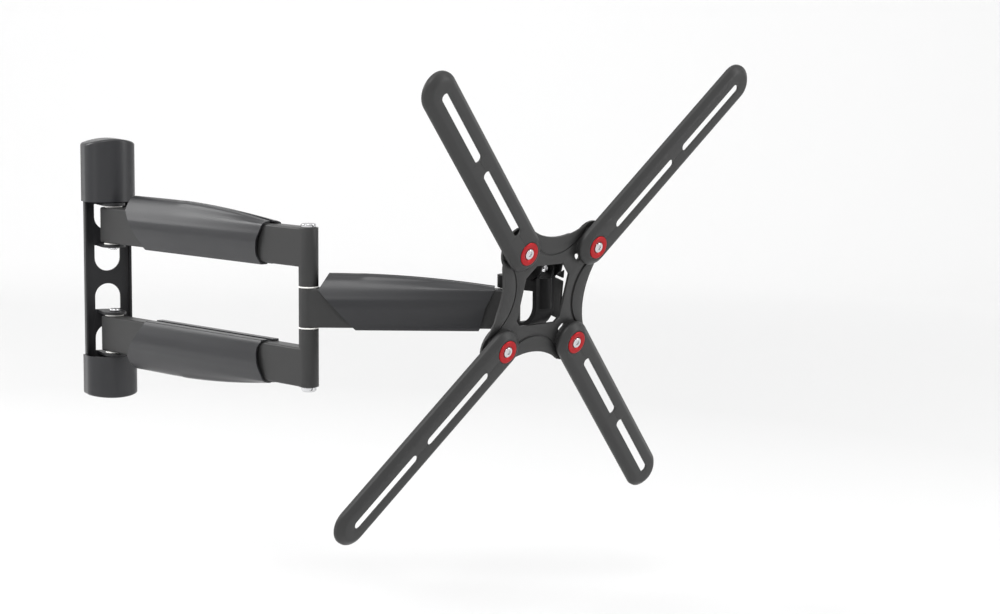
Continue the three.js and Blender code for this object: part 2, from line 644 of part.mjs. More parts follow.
function swivelBracket() {
  const half = HEAD_WIDTH / 2;
  const chin = CHIN_ANGLE * DEGREE;
  const outerRadius = CORNER_RADIUS + WEB_THICKNESS;
  const profile = new THREE.Shape();
  profile.moveTo(-half, HEAD_BOTTOM);
  profile.lineTo(HEEL, HEAD_BOTTOM);
  profile.absarc(CORNER_FORWARD, CORNER_CENTRE_UP, outerRadius, chin, 0);
  profile.lineTo(WEB_FRONT, HEAD_TOP);
  profile.lineTo(-half, HEAD_TOP);
  const pocket = new THREE.Shape();
  pocket.moveTo(-half - 1, -POCKET);
  pocket.lineTo(POCKET_FRONT, -POCKET);
  pocket.lineTo(POCKET_FRONT, CORNER_CENTRE_UP - CORNER_RADIUS);
  pocket.lineTo(CORNER_FORWARD, CORNER_CENTRE_UP - CORNER_RADIUS);
  pocket.absarc(CORNER_FORWARD, CORNER_CENTRE_UP, CORNER_RADIUS, -Math.PI / 2, 0);
  pocket.lineTo(WEB_BACK, POCKET);
  pocket.lineTo(-half - 1, POCKET);
  const plan = new THREE.Shape();
  plan.moveTo(0, -half);
  plan.lineTo(WEB_FRONT + 1, -half);
  plan.lineTo(WEB_FRONT + 1, half);
  plan.lineTo(0, half);
  plan.absarc(0, 0, half, Math.PI / 2, Math.PI * 1.5);
  const cheek = new THREE.Shape();
  cheek.moveTo(TILT_AXIS_FORWARD - CHEEK_RADIUS, HEAD_TOP - 2);
  cheek.lineTo(TILT_AXIS_FORWARD - CHEEK_RADIUS, TILT_AXIS_UP);
  cheek.absarc(TILT_AXIS_FORWARD, TILT_AXIS_UP, CHEEK_RADIUS, Math.PI, 0, true);
  cheek.lineTo(WEB_FRONT - 1, HEAD_TOP - 2);
  let bracket = slabY(profile, -half, half, 8)
    .subtract(slabY(pocket, -half - 1, half + 1, 8))
    .intersect(slabZ(plan, HEAD_BOTTOM - 1, HEAD_TOP + 1, 8))
    .add(barZ(RIB_RADIUS, WEB_BACK + WEB_THICKNESS / 2, 0, RIB_BOTTOM, HEAD_TOP, 24)
      .subtract(box(0, WEB_BACK + 1, -half, half, RIB_BOTTOM - 1, HEAD_TOP + 1)));
  for (const y of [-CHEEK_INNER - CHEEK_THICKNESS, CHEEK_INNER]) {
    bracket = bracket.add(slabY(cheek, y, y + CHEEK_THICKNESS, 8));
  }
  return bracket
    .subtract(barZ(BUSH_BORE, 0, 0, HEAD_BOTTOM - 1, HEAD_TOP + 1))
    .subtract(barY(TILT_BOLT_RADIUS + PIN_CLEARANCE, TILT_AXIS_FORWARD, -half - 1, half + 1, TILT_AXIS_UP));
}

const head = new THREE.Group();
head.name = 'swivel_head';
head.position.set(FOREARM_LENGTH, 0, 0);
head.rotation.z = (FOREARM_ANGLE - (90 - HEAD_YAW)) * DEGREE;
forearm.add(head);
place(head, 'swivel_bracket', swivelBracket(), powderCoat);
place(head, 'head_bolt',
  headedPin(0, 0, HEAD_TOP + GAP, HEAD_BOTTOM - 5.5, BOLT_HEAD_RADIUS, BOLT_HEAD_HEIGHT), chrome);
place(head, 'head_nut', ring(0, 0, HEAD_BOTTOM - GAP - 4.5, HEAD_BOTTOM - GAP, PIN_RADIUS + GAP, 8, 6), chrome);

// Tilt bolts: the head is inside each cheek, the shank crosses a washer and the yoke's ear to a nut.
const CHEEK_OUTER = CHEEK_INNER + CHEEK_THICKNESS;
const EAR_INNER = CHEEK_OUTER + TILT_WASHER_THICKNESS + 2 * GAP;
const EAR_OUTER = EAR_INNER + EAR_THICKNESS;
for (const [name, side] of [['left', -1], ['right', 1]]) {
  // A bar on the tilt axis between two distances from the head's middle, on this side.
  const across = (radius, from, to, sides) => barY(radius, TILT_AXIS_FORWARD,
    Math.min(side * from, side * to), Math.max(side * from, side * to), TILT_AXIS_UP, sides);
  const seat = CHEEK_INNER - GAP;
  const nutStart = EAR_OUTER + GAP;
  const nutEnd = nutStart + TILT_NUT_HEIGHT;
  place(head, `tilt_bolt_${name}`, across(TILT_BOLT_RADIUS, seat - 0.5, nutEnd + 1, 20)
    .add(across(TILT_HEAD_RADIUS, seat - TILT_HEAD_HEIGHT, seat, 24))
    .subtract(across(2, seat - TILT_HEAD_HEIGHT - 1, seat - TILT_HEAD_HEIGHT + 1.6, 6)), chrome);
  place(head, `tilt_nut_${name}`, across(TILT_NUT_RADIUS, nutStart, nutEnd, 6)
    .subtract(across(TILT_BOLT_RADIUS + GAP, nutStart - 1, nutEnd + 1, 20)), chrome);
  place(head, `tilt_washer_${name}`, across(TILT_WASHER_RADIUS, CHEEK_OUTER + GAP, EAR_INNER - GAP, 24)
    .subtract(across(TILT_BOLT_RADIUS + GAP, CHEEK_OUTER - 1, EAR_INNER + 1, 20)), nylon);
}

// ---- tilting plate --------------------------------------------------------------------------------
// In this group +X is the plate's normal and +Z its up; the origin is on the tilt axis.
const tilting = new THREE.Group();
tilting.name = 'tv_plate';
tilting.position.set(TILT_AXIS_FORWARD, 0, TILT_AXIS_UP);
tilting.rotation.y = TILT * DEGREE;
head.add(tilting);
const plate = new THREE.Group();
plate.position.set(PLATE_OFFSET_FORWARD, PLATE_OFFSET_SIDE, -PLATE_OFFSET_DOWN);
tilting.add(plate);

// Everything below is worked out about the plate's centre, with x = 0 at the front of the arm washers.
const HUB = HUB_SPACING / 2;
const HUBS = [
  ['upper_left', -HUB, HUB], ['upper_right', HUB, HUB], ['lower_right', HUB, -HUB], ['lower_left', -HUB, -HUB],
];
const ARM_FRONT = -WASHER_PROUD;
const ARM_BACK = ARM_FRONT - TV_ARM_DEPTH;
const SCREW_HEAD_BACK = SCREW_PROUD - SCREW_HEAD_HEIGHT;
const PAD_FRONT = ARM_BACK - GAP;
const CENTRE_BACK = CENTRE_FACE - CENTRE_THICKNESS;
const AXIS_X = -PLATE_OFFSET_FORWARD;
const AXIS_Z = PLATE_OFFSET_DOWN;
const SIDES = [[-1, 0], [1, 0], [0, 1], [0, -1]];

function centreOutline() {
  const reach = HUB + LOBE_RADIUS / 2;
  let body = box(CENTRE_BACK, CENTRE_FACE, -reach, reach, -reach, reach);
  for (const [, y, z] of HUBS) {
    body = body.add(barX(LOBE_RADIUS, CENTRE_BACK, CENTRE_FACE, y, z, 32));
  }
  for (const [y, z] of SIDES) {
    const centre = WAIST + SIDE_RADIUS;
    body = body.subtract(barX(SIDE_RADIUS, CENTRE_BACK - 1, CENTRE_FACE + 1, y * centre, z * centre, 72));
  }
  return body;
}

// Part of a ring about a point, as a flat shape.
function arcSlot(x, z, radius, width, from, to) {
  const shape = new THREE.Shape();
  shape.absarc(x, z, radius + width / 2, from, to);
  shape.absarc(x, z, radius - width / 2, to, from, true);
  return shape;
}

// A flange bent back from the side of the opening, pierced near the tilt axis and slotted round it.
function guardFlange(y) {
  const low = GUARD_BOTTOM - OPENING;
  const outline = new THREE.Shape();
  outline.moveTo(CENTRE_FACE - 0.5, AXIS_Z + 9);
  outline.absarc(AXIS_X, AXIS_Z, GUARD_RADIUS, Math.PI * 0.4, Math.PI * 1.15);
  outline.lineTo(AXIS_X - 1, low + 6);
  outline.lineTo(AXIS_X + 2, low);
  outline.lineTo(CENTRE_FACE - 0.5, low);
  const pierce = (shape) => slabY(shape, y - 1, y + EAR_THICKNESS + 1, 6);
  const [back, front, drop] = GUARD_VENT;
  const vent = box(AXIS_X + back, AXIS_X + front, y - 1, y + EAR_THICKNESS + 1,
    AXIS_Z + drop - GUARD_SLOT_WIDTH / 2, AXIS_Z + drop + GUARD_SLOT_WIDTH / 2);
  let flange = slabY(outline, y, y + EAR_THICKNESS, 10).subtract(vent);
  for (const [from, to] of GUARD_SLOT_ANGLES) {
    flange = flange.subtract(pierce(
      arcSlot(AXIS_X, AXIS_Z, GUARD_SLOT_RADIUS, GUARD_SLOT_WIDTH, from * DEGREE, to * DEGREE)));
  }
  return flange.subtract(
    barY(GUARD_HOLE_RADIUS, AXIS_X + GUARD_HOLE_FORWARD, y - 1, y + EAR_THICKNESS + 1, AXIS_Z, 20));
}

// The raised crescent along one hollow side, and the bead pressed along its inner edge.
function sideCrescent(y, z) {
  const centre = BEAD_INSIDE + BEAD_RADIUS;
  const inner = barX(BEAD_RADIUS, CENTRE_FACE - 1, CENTRE_FACE + CRESCENT_RISE, y * centre, z * centre, 56);
  const outer = barX(SIDE_RADIUS, CENTRE_FACE - 2, CENTRE_FACE + 2, y * (WAIST + SIDE_RADIUS),
    z * (WAIST + SIDE_RADIUS), 72);
  const reach = HUB - LOBE_PAD_RADIUS / 2;
  const near = box(CENTRE_FACE - 2, CENTRE_FACE + 2, y ? -WAIST * 2 : -reach, y ? WAIST * 2 : reach,
    z ? -WAIST * 2 : -reach, z ? WAIST * 2 : reach);
  const bead = barX(BEAD_RADIUS + BEAD_WIDTH / 2, CENTRE_FACE - BEAD_DEPTH, CENTRE_FACE + 2, y * centre, z * centre, 56)
    .subtract(barX(BEAD_RADIUS - BEAD_WIDTH / 2, CENTRE_FACE - 2, CENTRE_FACE + 3, y * centre, z * centre, 56));
  return { raised: inner.subtract(outer).intersect(near), bead: bead.intersect(near) };
}

// A small slot across the inner corner of one lobe.
function cornerSlot(y, z) {
  const shape = slotOutline(-CORNER_SLOT_LENGTH / 2, CORNER_SLOT_LENGTH / 2, CORNER_SLOT_WIDTH);
  const turn = -Math.sign(y * z) * 45 * DEGREE;
  const points = shape.getPoints(4).map((p) => [
    Math.sign(y) * (HUB - CORNER_SLOT_INSET) + p.x * Math.cos(turn) - p.y * Math.sin(turn),
    Math.sign(z) * (HUB - CORNER_SLOT_INSET) + p.x * Math.sin(turn) + p.y * Math.cos(turn),
  ]);
  return slabX(shapeOf(points), CENTRE_BACK - 1, PAD_FRONT + 1);
}

function centrePlate() {
  const chamfer = OPENING_CHAMFER;
  const low = chamfer / 2;
  const opening = shapeOf([
    [-OPENING + chamfer, OPENING], [OPENING - chamfer, OPENING], [OPENING, OPENING - chamfer],
    [OPENING, low - OPENING], [OPENING - low, -OPENING], [low - OPENING, -OPENING],
    [-OPENING, low - OPENING], [-OPENING, OPENING - chamfer],
  ]);
  let body = centreOutline();
  for (const [, y, z] of HUBS) {
    body = body.add(barX(LOBE_PAD_RADIUS, CENTRE_BACK, PAD_FRONT, y, z, 28));
    body = body.subtract(barX(LOBE_PAD_RADIUS - CENTRE_THICKNESS, CENTRE_BACK - 1,
      PAD_FRONT - CENTRE_THICKNESS, y, z, 24));
    body = body.subtract(barX(SCREW_RADIUS + PIN_CLEARANCE, CENTRE_BACK - 5, PAD_FRONT + 1, y, z));
  }
  for (const [y, z] of SIDES) {
    const { raised, bead } = sideCrescent(y, z);
    body = body.add(raised).subtract(bead);
  }
  for (const [, y, z] of HUBS) {
    body = body.subtract(cornerSlot(y, z));
  }
  return body
    .subtract(slabX(opening, CENTRE_BACK - 1, CENTRE_FACE + 1))
    .add(guardFlange(OPENING))
    .add(guardFlange(-OPENING - EAR_THICKNESS));
}

// A strap behind the plate's upper limb with two ears that reach back to the tilt axis.
function tiltYoke() {
  const front = CENTRE_BACK - GAP;
  const back = front - EAR_THICKNESS;
  const top = OPENING + 19;
  const middle = -PLATE_OFFSET_SIDE;
  const ear = new THREE.Shape();
  ear.moveTo(front, top);
  ear.lineTo(AXIS_X, AXIS_Z + EAR_RADIUS);
  ear.absarc(AXIS_X, AXIS_Z, EAR_RADIUS, Math.PI / 2, Math.PI * 1.65);
  ear.lineTo(front, AXIS_Z);
  let yoke = box(back, front, middle - EAR_OUTER - 8, middle + EAR_OUTER + 8, OPENING + 2, top);
  for (const side of [-1, 1]) {
    const y = middle + Math.min(side * EAR_INNER, side * EAR_OUTER);
    yoke = yoke.add(slabY(ear, y, y + EAR_THICKNESS, 8))
      .subtract(barY(TILT_BOLT_RADIUS + PIN_CLEARANCE, AXIS_X, y - 1, y + EAR_THICKNESS + 1, AXIS_Z));
  }
  return yoke;
}

place(plate, 'centre_plate', centrePlate(), texturedCoat);
place(plate, 'tilt_yoke', tiltYoke(), powderCoat);

// ---- television arms ------------------------------------------------------------------------------
// An arm lies along +Z of its own group, with its hub at the origin and its washer's front at x = 0.
function capsule(from, to, width, x0, x1) {
  const shape = slotOutline(from - width / 2, to + width / 2, width);
  const geometry = extruded(shape, x1 - x0, 8);
  geometry.rotateY(-Math.PI / 2);
  geometry.translate(x1, 0, 0);
  return solid(geometry);
}

// A tapered capsule: the full width at the back, narrower by the slope at the front.
function slopedCapsule(from, to, width, slope, x0, x1) {
  const shape = slotOutline(from - width / 2 + slope, to + width / 2 - slope, width - 2 * slope);
  const geometry = new THREE.ExtrudeGeometry(shape, {
    depth: 0.01, bevelEnabled: true, bevelThickness: x1 - x0, bevelSize: slope, bevelSegments: 1, curveSegments: 8,
  });
  geometry.rotateY(-Math.PI / 2);
  geometry.translate(x0, 0, 0);
  return solid(geometry);
}

function televisionArm() {
  const tip = TV_ARM_TIP - HUB_RADIUS_FROM_CENTRE - TV_ARM_WIDTH / 2;
  const shoulder = ARM_FRONT - TV_ARM_SLOPE_DEPTH;
  const half = (x) => x - HUB_RADIUS_FROM_CENTRE;
  const cut = box(ARM_BACK - 20, shoulder, -60, 60, -60, 400);
  let body = capsule(0, tip, TV_ARM_WIDTH, ARM_BACK, shoulder)
    .add(slopedCapsule(0, tip, TV_ARM_WIDTH, TV_ARM_SLOPE, shoulder, ARM_FRONT).subtract(cut));
  const inner = TV_ARM_WIDTH - 2 * TV_ARM_WALL;
  const hollow = capsule(0, tip, inner, ARM_BACK - 1, shoulder)
    .add(slopedCapsule(0, tip, inner, TV_ARM_SLOPE, shoulder, ARM_FRONT - TV_ARM_WALL).subtract(cut));
  body = body.subtract(hollow);
  body = body.add(barX(WASHER_RADIUS + 2, ARM_BACK, ARM_FRONT - 1, 0, 0, 28));
  for (const [from, to] of SLOT_RADII) {
    body = body.subtract(capsule(half(from) + SLOT_WIDTH / 2, half(to) - SLOT_WIDTH / 2, SLOT_WIDTH,
      ARM_BACK - 1, ARM_FRONT + 1));
  }
  return body
    .subtract(barX(WASHER_RADIUS + GAP, -WASHER_THICKNESS - GAP, 1, 0, 0, 32))
    .subtract(barX(SCREW_RADIUS + PIN_CLEARANCE, ARM_BACK - 1, ARM_FRONT + 5, 0, 0));
}

function screwWasher() {
  return barX(WASHER_RADIUS, -WASHER_THICKNESS, 0, 0, 0, 32)
    .subtract(barX(SCREW_RADIUS + GAP, -WASHER_THICKNESS - 1, 1, 0, 0))
    .subtract(barX(SCREW_HEAD_RADIUS + GAP, SCREW_HEAD_BACK - GAP, 1, 0, 0, 28));
}

function hubScrew(nutBack) {
  return barX(SCREW_RADIUS, nutBack - 1.5, SCREW_HEAD_BACK + 0.5, 0, 0, 20)
    .add(barX(SCREW_HEAD_RADIUS, SCREW_HEAD_BACK, SCREW_PROUD, 0, 0, 28))
    .subtract(barX(HEX_KEY_RADIUS, SCREW_HEAD_BACK + 0.8, SCREW_PROUD + 1, 0, 0, 6));
}

const armSolid = televisionArm();
const washerSolid = screwWasher();
const nutFront = PAD_FRONT - CENTRE_THICKNESS - GAP;
const nutBack = nutFront - ARM_NUT_HEIGHT;
const screwSolid = hubScrew(nutBack);
const nutSolid = barX(ARM_NUT_RADIUS, nutBack, nutFront, 0, 0, 6)
  .subtract(barX(SCREW_RADIUS + GAP, nutBack - 1, nutFront + 1, 0, 0, 20));
for (const [name, y, z] of HUBS) {
  const hub = new THREE.Group();
  hub.position.set(0, y, z);
  plate.add(hub);
  const arm = new THREE.Group();
  arm.name = `tv_arm_${name}`;
  arm.rotation.x = -Math.atan2(y, z);
  hub.add(arm);
  place(arm, `${name}_tv_arm`, armSolid, texturedCoat);
  place(hub, `${name}_washer`, washerSolid, redAnodised);
  place(hub, `${name}_screw`, screwSolid, chrome);
  place(hub, `${name}_nut`, nutSolid, chrome);
}

const mount = new THREE.Group();
mount.add(wall, armPair);
export default mount;
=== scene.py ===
"""Looks for a full motion television wall mount: covers, caps, slotted arms and turned hardware.

Everything is in metres in the part's own frame: +X right along the wall, +Y into the wall, +Z up. Pieces are
placed from the part's own joints, and shapes are worked out in millimetres in a local frame of each body.
"""

import json
import math

import bmesh
import bpy
import numpy as np
from bpy.props import FloatProperty, FloatVectorProperty, PointerProperty
from mathutils import Matrix, Vector

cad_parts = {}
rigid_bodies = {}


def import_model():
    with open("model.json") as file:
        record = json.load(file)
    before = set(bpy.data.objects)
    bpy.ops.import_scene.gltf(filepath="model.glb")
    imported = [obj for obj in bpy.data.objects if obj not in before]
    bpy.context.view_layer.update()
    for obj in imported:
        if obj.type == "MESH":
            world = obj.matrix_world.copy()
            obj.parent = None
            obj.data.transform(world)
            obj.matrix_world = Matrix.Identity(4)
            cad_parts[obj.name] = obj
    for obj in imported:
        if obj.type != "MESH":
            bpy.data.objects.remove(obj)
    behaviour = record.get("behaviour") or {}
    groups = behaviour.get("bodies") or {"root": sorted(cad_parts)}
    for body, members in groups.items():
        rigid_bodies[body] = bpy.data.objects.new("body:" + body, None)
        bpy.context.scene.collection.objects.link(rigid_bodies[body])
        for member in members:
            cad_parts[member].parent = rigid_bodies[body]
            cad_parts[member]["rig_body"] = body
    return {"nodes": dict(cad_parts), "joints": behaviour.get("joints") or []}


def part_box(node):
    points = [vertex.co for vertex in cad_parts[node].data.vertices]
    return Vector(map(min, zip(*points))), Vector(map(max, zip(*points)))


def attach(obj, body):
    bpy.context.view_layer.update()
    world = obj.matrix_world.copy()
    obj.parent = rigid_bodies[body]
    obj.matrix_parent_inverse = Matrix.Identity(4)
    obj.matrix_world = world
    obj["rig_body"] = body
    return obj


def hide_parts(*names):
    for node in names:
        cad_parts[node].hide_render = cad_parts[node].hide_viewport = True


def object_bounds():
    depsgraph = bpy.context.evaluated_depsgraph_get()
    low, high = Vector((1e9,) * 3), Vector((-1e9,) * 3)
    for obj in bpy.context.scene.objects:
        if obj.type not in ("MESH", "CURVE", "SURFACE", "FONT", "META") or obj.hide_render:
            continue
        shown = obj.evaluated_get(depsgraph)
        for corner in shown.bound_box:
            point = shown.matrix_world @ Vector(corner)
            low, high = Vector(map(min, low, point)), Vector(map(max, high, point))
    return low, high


bl_info = {
    "name": "Television wall mount",
    "version": (1, 0, 0),
    "blender": (4, 5, 0),
    "location": "3D View > Sidebar > Wall Mount",
    "description": "Builds the covers, slotted arms, fittings and finishes of a full motion wall mount",
    "category": "Add Mesh",
}

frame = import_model()
CAD_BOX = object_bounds()
JOINTS = {joint["name"]: joint for joint in frame["joints"]}
MM = 0.001
HUBS = ("upper_left", "upper_right", "lower_right", "lower_left")


# ---- local frames of the bodies -----------------------------------------------------------------

def point(name):
    """A joint's place in millimetres."""
    return np.array(JOINTS[name]["pos_m"], float) / MM


def unit(vector):
    """The vector scaled to length one."""
    return np.asarray(vector, float) / np.linalg.norm(vector)


def axes(origin, forward, up):
    """A local frame: x along forward, z along up, and y completing a right-handed set."""
    x = unit(forward)
    z = unit(np.asarray(up, float) - np.dot(up, x) * x)
    y = np.cross(z, x)
    return np.asarray(origin, float), np.stack([x, y, z])


UP = np.array([0.0, 0.0, 1.0])
WALL_PIVOT = point("wall_swivel")
ELBOW = point("elbow_swivel")
HEAD = point("head_swivel")
TILT = point("tilt")
HUB_POINTS = {name: point(f"{name}_swing") for name in HUBS}
PLATE_NORMAL = np.array(JOINTS["upper_left_swing"]["axis"], float)
PLATE_RIGHT = np.array(JOINTS["tilt"]["axis"], float)
PLATE_UP = np.cross(PLATE_NORMAL, PLATE_RIGHT)
PLATE_CENTRE = sum(HUB_POINTS.values()) / len(HUB_POINTS)
WALL_FRAME = axes((0, 0, 0), (1, 0, 0), UP)
ARM_FRAME = axes(WALL_PIVOT, ELBOW - WALL_PIVOT, UP)
FOREARM_FRAME = axes(ELBOW, HEAD - ELBOW, UP)
HEAD_FRAME = axes(HEAD, np.cross(PLATE_RIGHT, UP), UP)
PLATE_FRAME = axes(PLATE_CENTRE, PLATE_NORMAL, PLATE_UP)


def arm_frame(name):
    """The frame of one television arm: x along the plate's normal and z outward along the arm."""
    return axes(HUB_POINTS[name], PLATE_NORMAL, HUB_POINTS[name] - PLATE_CENTRE)


# ---- sizes and colours --------------------------------------------------------------------------

def size(name, description, default):
    """A length in metres that shows in the scene's unit."""
    return FloatProperty(name=name, description=description, default=default, unit="LENGTH", precision=5)


def colour(name, description, default):
    """A linear colour."""
    return FloatVectorProperty(name=name, description=description, default=default, subtype="COLOR",
                               size=3, min=0.0, max=1.0)


class CoverSizes(bpy.types.PropertyGroup):
    """Sizes of the moulded arm covers and end caps."""

    wall: size("Wall", "Thickness of the moulded walls", 0.0018)
    bulge: size("Bulge", "How far a cover's side swells past its foot", 0.0046)
    ridge: size("Ridge", "Height of the cable channel above the tube", 0.0153)
    ridge_end: size("Ridge End", "Height of the cable channel where it runs out", 0.0024)
    cap_depth: size("Cap Depth", "How far an end cap stands out from the wall", 0.036)
    cap_side: size("Cap Side", "Straight depth of an end cap's sides", 0.015)
    top_arch: size("Top Cap Arch", "Rise of the top cap's domed end", 0.0055)
    bottom_arch: size("Bottom Cap Arch", "Fall of the bottom cap's domed end", 0.0025)


class ArmSizes(bpy.types.PropertyGroup):
    """Sizes of the slotted television arms and their hubs."""

    width: size("Width", "Width of a television arm", 0.040)
    depth: size("Depth", "Depth of the pressed arm from its web to its rim", 0.0088)
    sheet: size("Sheet", "Thickness of the pressed sheet", 0.0022)
    slope: size("Slope", "Width of the sloping side", 0.006)
    slope_depth: size("Slope Depth", "Depth of the sloping side", 0.005)
    slot: size("Slot", "Width of the slots", 0.0086)
    washer: size("Washer", "Radius of the red washers", 0.0115)


class FinishColours(bpy.types.PropertyGroup):
    """Colours of the finishes."""

    coat: colour("Smooth Coat", "Smooth black powder coat", (0.010, 0.010, 0.011))
    # Painted shade: the swivel head gets a darker, duller copy of the smooth black coat, standing in for the
    # shade the wall plate casts on it.
    black: colour("Black Coat", "Deep black coat of the swivel head", (0.003, 0.003, 0.0032))
    texture: colour("Textured Coat", "Fine textured black powder coat", (0.006, 0.006, 0.0064))
    plastic: colour("Plastic", "Satin dark plastic of the covers and caps", (0.016, 0.0163, 0.0182))
    nylon: colour("Nylon", "White nylon of the bushes", (0.82, 0.81, 0.78))
    zinc: colour("Bright Metal", "Plated bolts, pins and screws", (0.5, 0.5, 0.51))
    red: colour("Red", "Anodised washers", (0.29, 0.007, 0.014))


# ---- node groups --------------------------------------------------------------------------------

def new_group(name, inputs, outputs):
    """An empty shader group with named number inputs and outputs. Each entry is (name, kind, default)."""
    group = bpy.data.node_groups.new(name, "ShaderNodeTree")
    for label, kind, default in inputs:
        socket = group.interface.new_socket(name=label, in_out="INPUT", socket_type=kind)
        socket.default_value = default
    for label, kind in outputs:
        group.interface.new_socket(name=label, in_out="OUTPUT", socket_type=kind)
    return group, group.nodes.new("NodeGroupInput"), group.nodes.new("NodeGroupOutput")


def add_node(tree, kind, values=None, **settings):
    """A node with its settings and the values of its input sockets, named or numbered."""
    node = tree.nodes.new(kind)
    for key, value in settings.items():
        setattr(node, key, value)
    for key, value in (values or {}).items():
        node.inputs[key].default_value = value
    return node


def link(tree, source, target):
    """Joins an output socket to an input socket."""
    tree.links.new(source, target)


def grain_group():
    """Fine moulded or sprayed grain: cellular bumps broken up by noise."""
    group, given, out = new_group(
        "Fine Grain",
        [("Vector", "NodeSocketVector", (0, 0, 0)), ("Scale", "NodeSocketFloat", 900.0),
         ("Roughen", "NodeSocketFloat", 0.5)],
        [("Height", "NodeSocketFloat"), ("Mask", "NodeSocketFloat")])
    noise = add_node(group, "ShaderNodeTexNoise", {"Detail": 3.0, "Roughness": 0.6})
    cells = add_node(group, "ShaderNodeTexVoronoi", {"Randomness": 1.0}, feature="SMOOTH_F1")
    mix = add_node(group, "ShaderNodeMix", data_type="FLOAT")
    spread = add_node(group, "ShaderNodeMapRange", {"From Min": 0.35, "From Max": 0.65}, clamp=True)
    for texture in (noise, cells):
        link(group, given.outputs["Vector"], texture.inputs["Vector"])
        link(group, given.outputs["Scale"], texture.inputs["Scale"])
    link(group, given.outputs["Roughen"], mix.inputs[0])
    link(group, cells.outputs["Distance"], mix.inputs[2])
    link(group, noise.outputs["Fac"], mix.inputs[3])
    link(group, noise.outputs["Fac"], spread.inputs["Value"])
    link(group, mix.outputs[0], out.inputs["Height"])
    link(group, spread.outputs["Result"], out.inputs["Mask"])
    return group


def handling_group():
    """Broad soft marks of handling, from two sizes of noise, that vary a finish's gloss."""
    group, given, out = new_group(
        "Handling Marks",
        [("Vector", "NodeSocketVector", (0, 0, 0)), ("Scale", "NodeSocketFloat", 14.0),
         ("Low", "NodeSocketFloat", 0.4), ("High", "NodeSocketFloat", 0.5)],
        [("Roughness", "NodeSocketFloat"), ("Mask", "NodeSocketFloat")])
    broad = add_node(group, "ShaderNodeTexNoise", {"Detail": 4.0, "Roughness": 0.55, "Distortion": 0.6})
    spread = add_node(group, "ShaderNodeMapRange", {"From Min": 0.3, "From Max": 0.7}, clamp=True)
    level = add_node(group, "ShaderNodeMapRange")
    link(group, given.outputs["Vector"], broad.inputs["Vector"])
    link(group, given.outputs["Scale"], broad.inputs["Scale"])
    link(group, broad.outputs["Fac"], spread.inputs["Value"])
    link(group, spread.outputs["Result"], level.inputs["Value"])
    link(group, given.outputs["Low"], level.inputs["To Min"])
    link(group, given.outputs["High"], level.inputs["To Max"])
    link(group, level.outputs["Result"], out.inputs["Roughness"])
    link(group, spread.outputs["Result"], out.inputs["Mask"])
    return group


def dust_group():
    """A trace of pale dust on faces that look up, broken up by fine noise."""
    group, given, out = new_group(
        "Light Dust",
        [("Vector", "NodeSocketVector", (0, 0, 0)), ("Amount", "NodeSocketFloat", 0.05)],
        [("Mask", "NodeSocketFloat")])
    geometry = add_node(group, "ShaderNodeNewGeometry")
    split = add_node(group, "ShaderNodeSeparateXYZ")
    facing = add_node(group, "ShaderNodeMapRange", {"From Min": 0.35, "From Max": 1.0}, clamp=True)
    specks = add_node(group, "ShaderNodeTexNoise", {"Scale": 420.0, "Detail": 4.0})
    product = add_node(group, "ShaderNodeMath", operation="MULTIPLY")
    amount = add_node(group, "ShaderNodeMath", operation="MULTIPLY")
    link(group, geometry.outputs["Normal"], split.inputs[0])
    link(group, split.outputs["Z"], facing.inputs["Value"])
    link(group, given.outputs["Vector"], specks.inputs["Vector"])
    link(group, facing.outputs["Result"], product.inputs[0])
    link(group, specks.outputs["Fac"], product.inputs[1])
    link(group, product.outputs[0], amount.inputs[0])
    link(group, given.outputs["Amount"], amount.inputs[1])
    link(group, amount.outputs[0], out.inputs["Mask"])
    return group


def turned_group():
    """Fine rings of a lathe tool, round the piece's own UV centre line."""
    group, given, out = new_group(
        "Turned Rings",
        [("Vector", "NodeSocketVector", (0, 0, 0)), ("Rings", "NodeSocketFloat", 60.0)],
        [("Height", "NodeSocketFloat")])
    split = add_node(group, "ShaderNodeSeparateXYZ")
    scaled = add_node(group, "ShaderNodeMath", operation="MULTIPLY")
    noise = add_node(group, "ShaderNodeTexNoise", {"Scale": 1.0, "Detail": 2.0}, noise_dimensions="1D")
    link(group, given.outputs["Vector"], split.inputs[0])
    link(group, split.outputs["Y"], scaled.inputs[0])
    link(group, given.outputs["Rings"], scaled.inputs[1])
    link(group, scaled.outputs[0], noise.inputs["W"])
    link(group, noise.outputs["Fac"], out.inputs["Height"])
    return group


GROUP_MAKERS = {
    "Fine Grain": grain_group,
    "Handling Marks": handling_group,
    "Light Dust": dust_group,
    "Turned Rings": turned_group,
}


def placed_group(tree, name, **values):
    """One of the shared groups in a material, built the first time it is asked for."""
    group = bpy.data.node_groups.get(name) or GROUP_MAKERS[name]()
    node = tree.nodes.new("ShaderNodeGroup")
    node.node_tree = group
    for key, value in values.items():
        node.inputs[key].default_value = value
    return node


# ---- materials ----------------------------------------------------------------------------------

def new_material(name, color, metallic=0.0, **constants):
    """A material with its Principled shader, and its Object coordinates."""
    material = bpy.data.materials.new(name)
    material.use_nodes = True
    tree = material.node_tree
    shader = tree.nodes["Principled BSDF"]
    shader.inputs["Base Color"].default_value = (*color, 1.0)
    shader.inputs["Metallic"].default_value = metallic
    for key, value in constants.items():
        shader.inputs[key].default_value = value
    coordinates = tree.nodes.new("ShaderNodeTexCoord")
    material.diffuse_color = (*color, 1.0)
    return material, tree, shader, coordinates


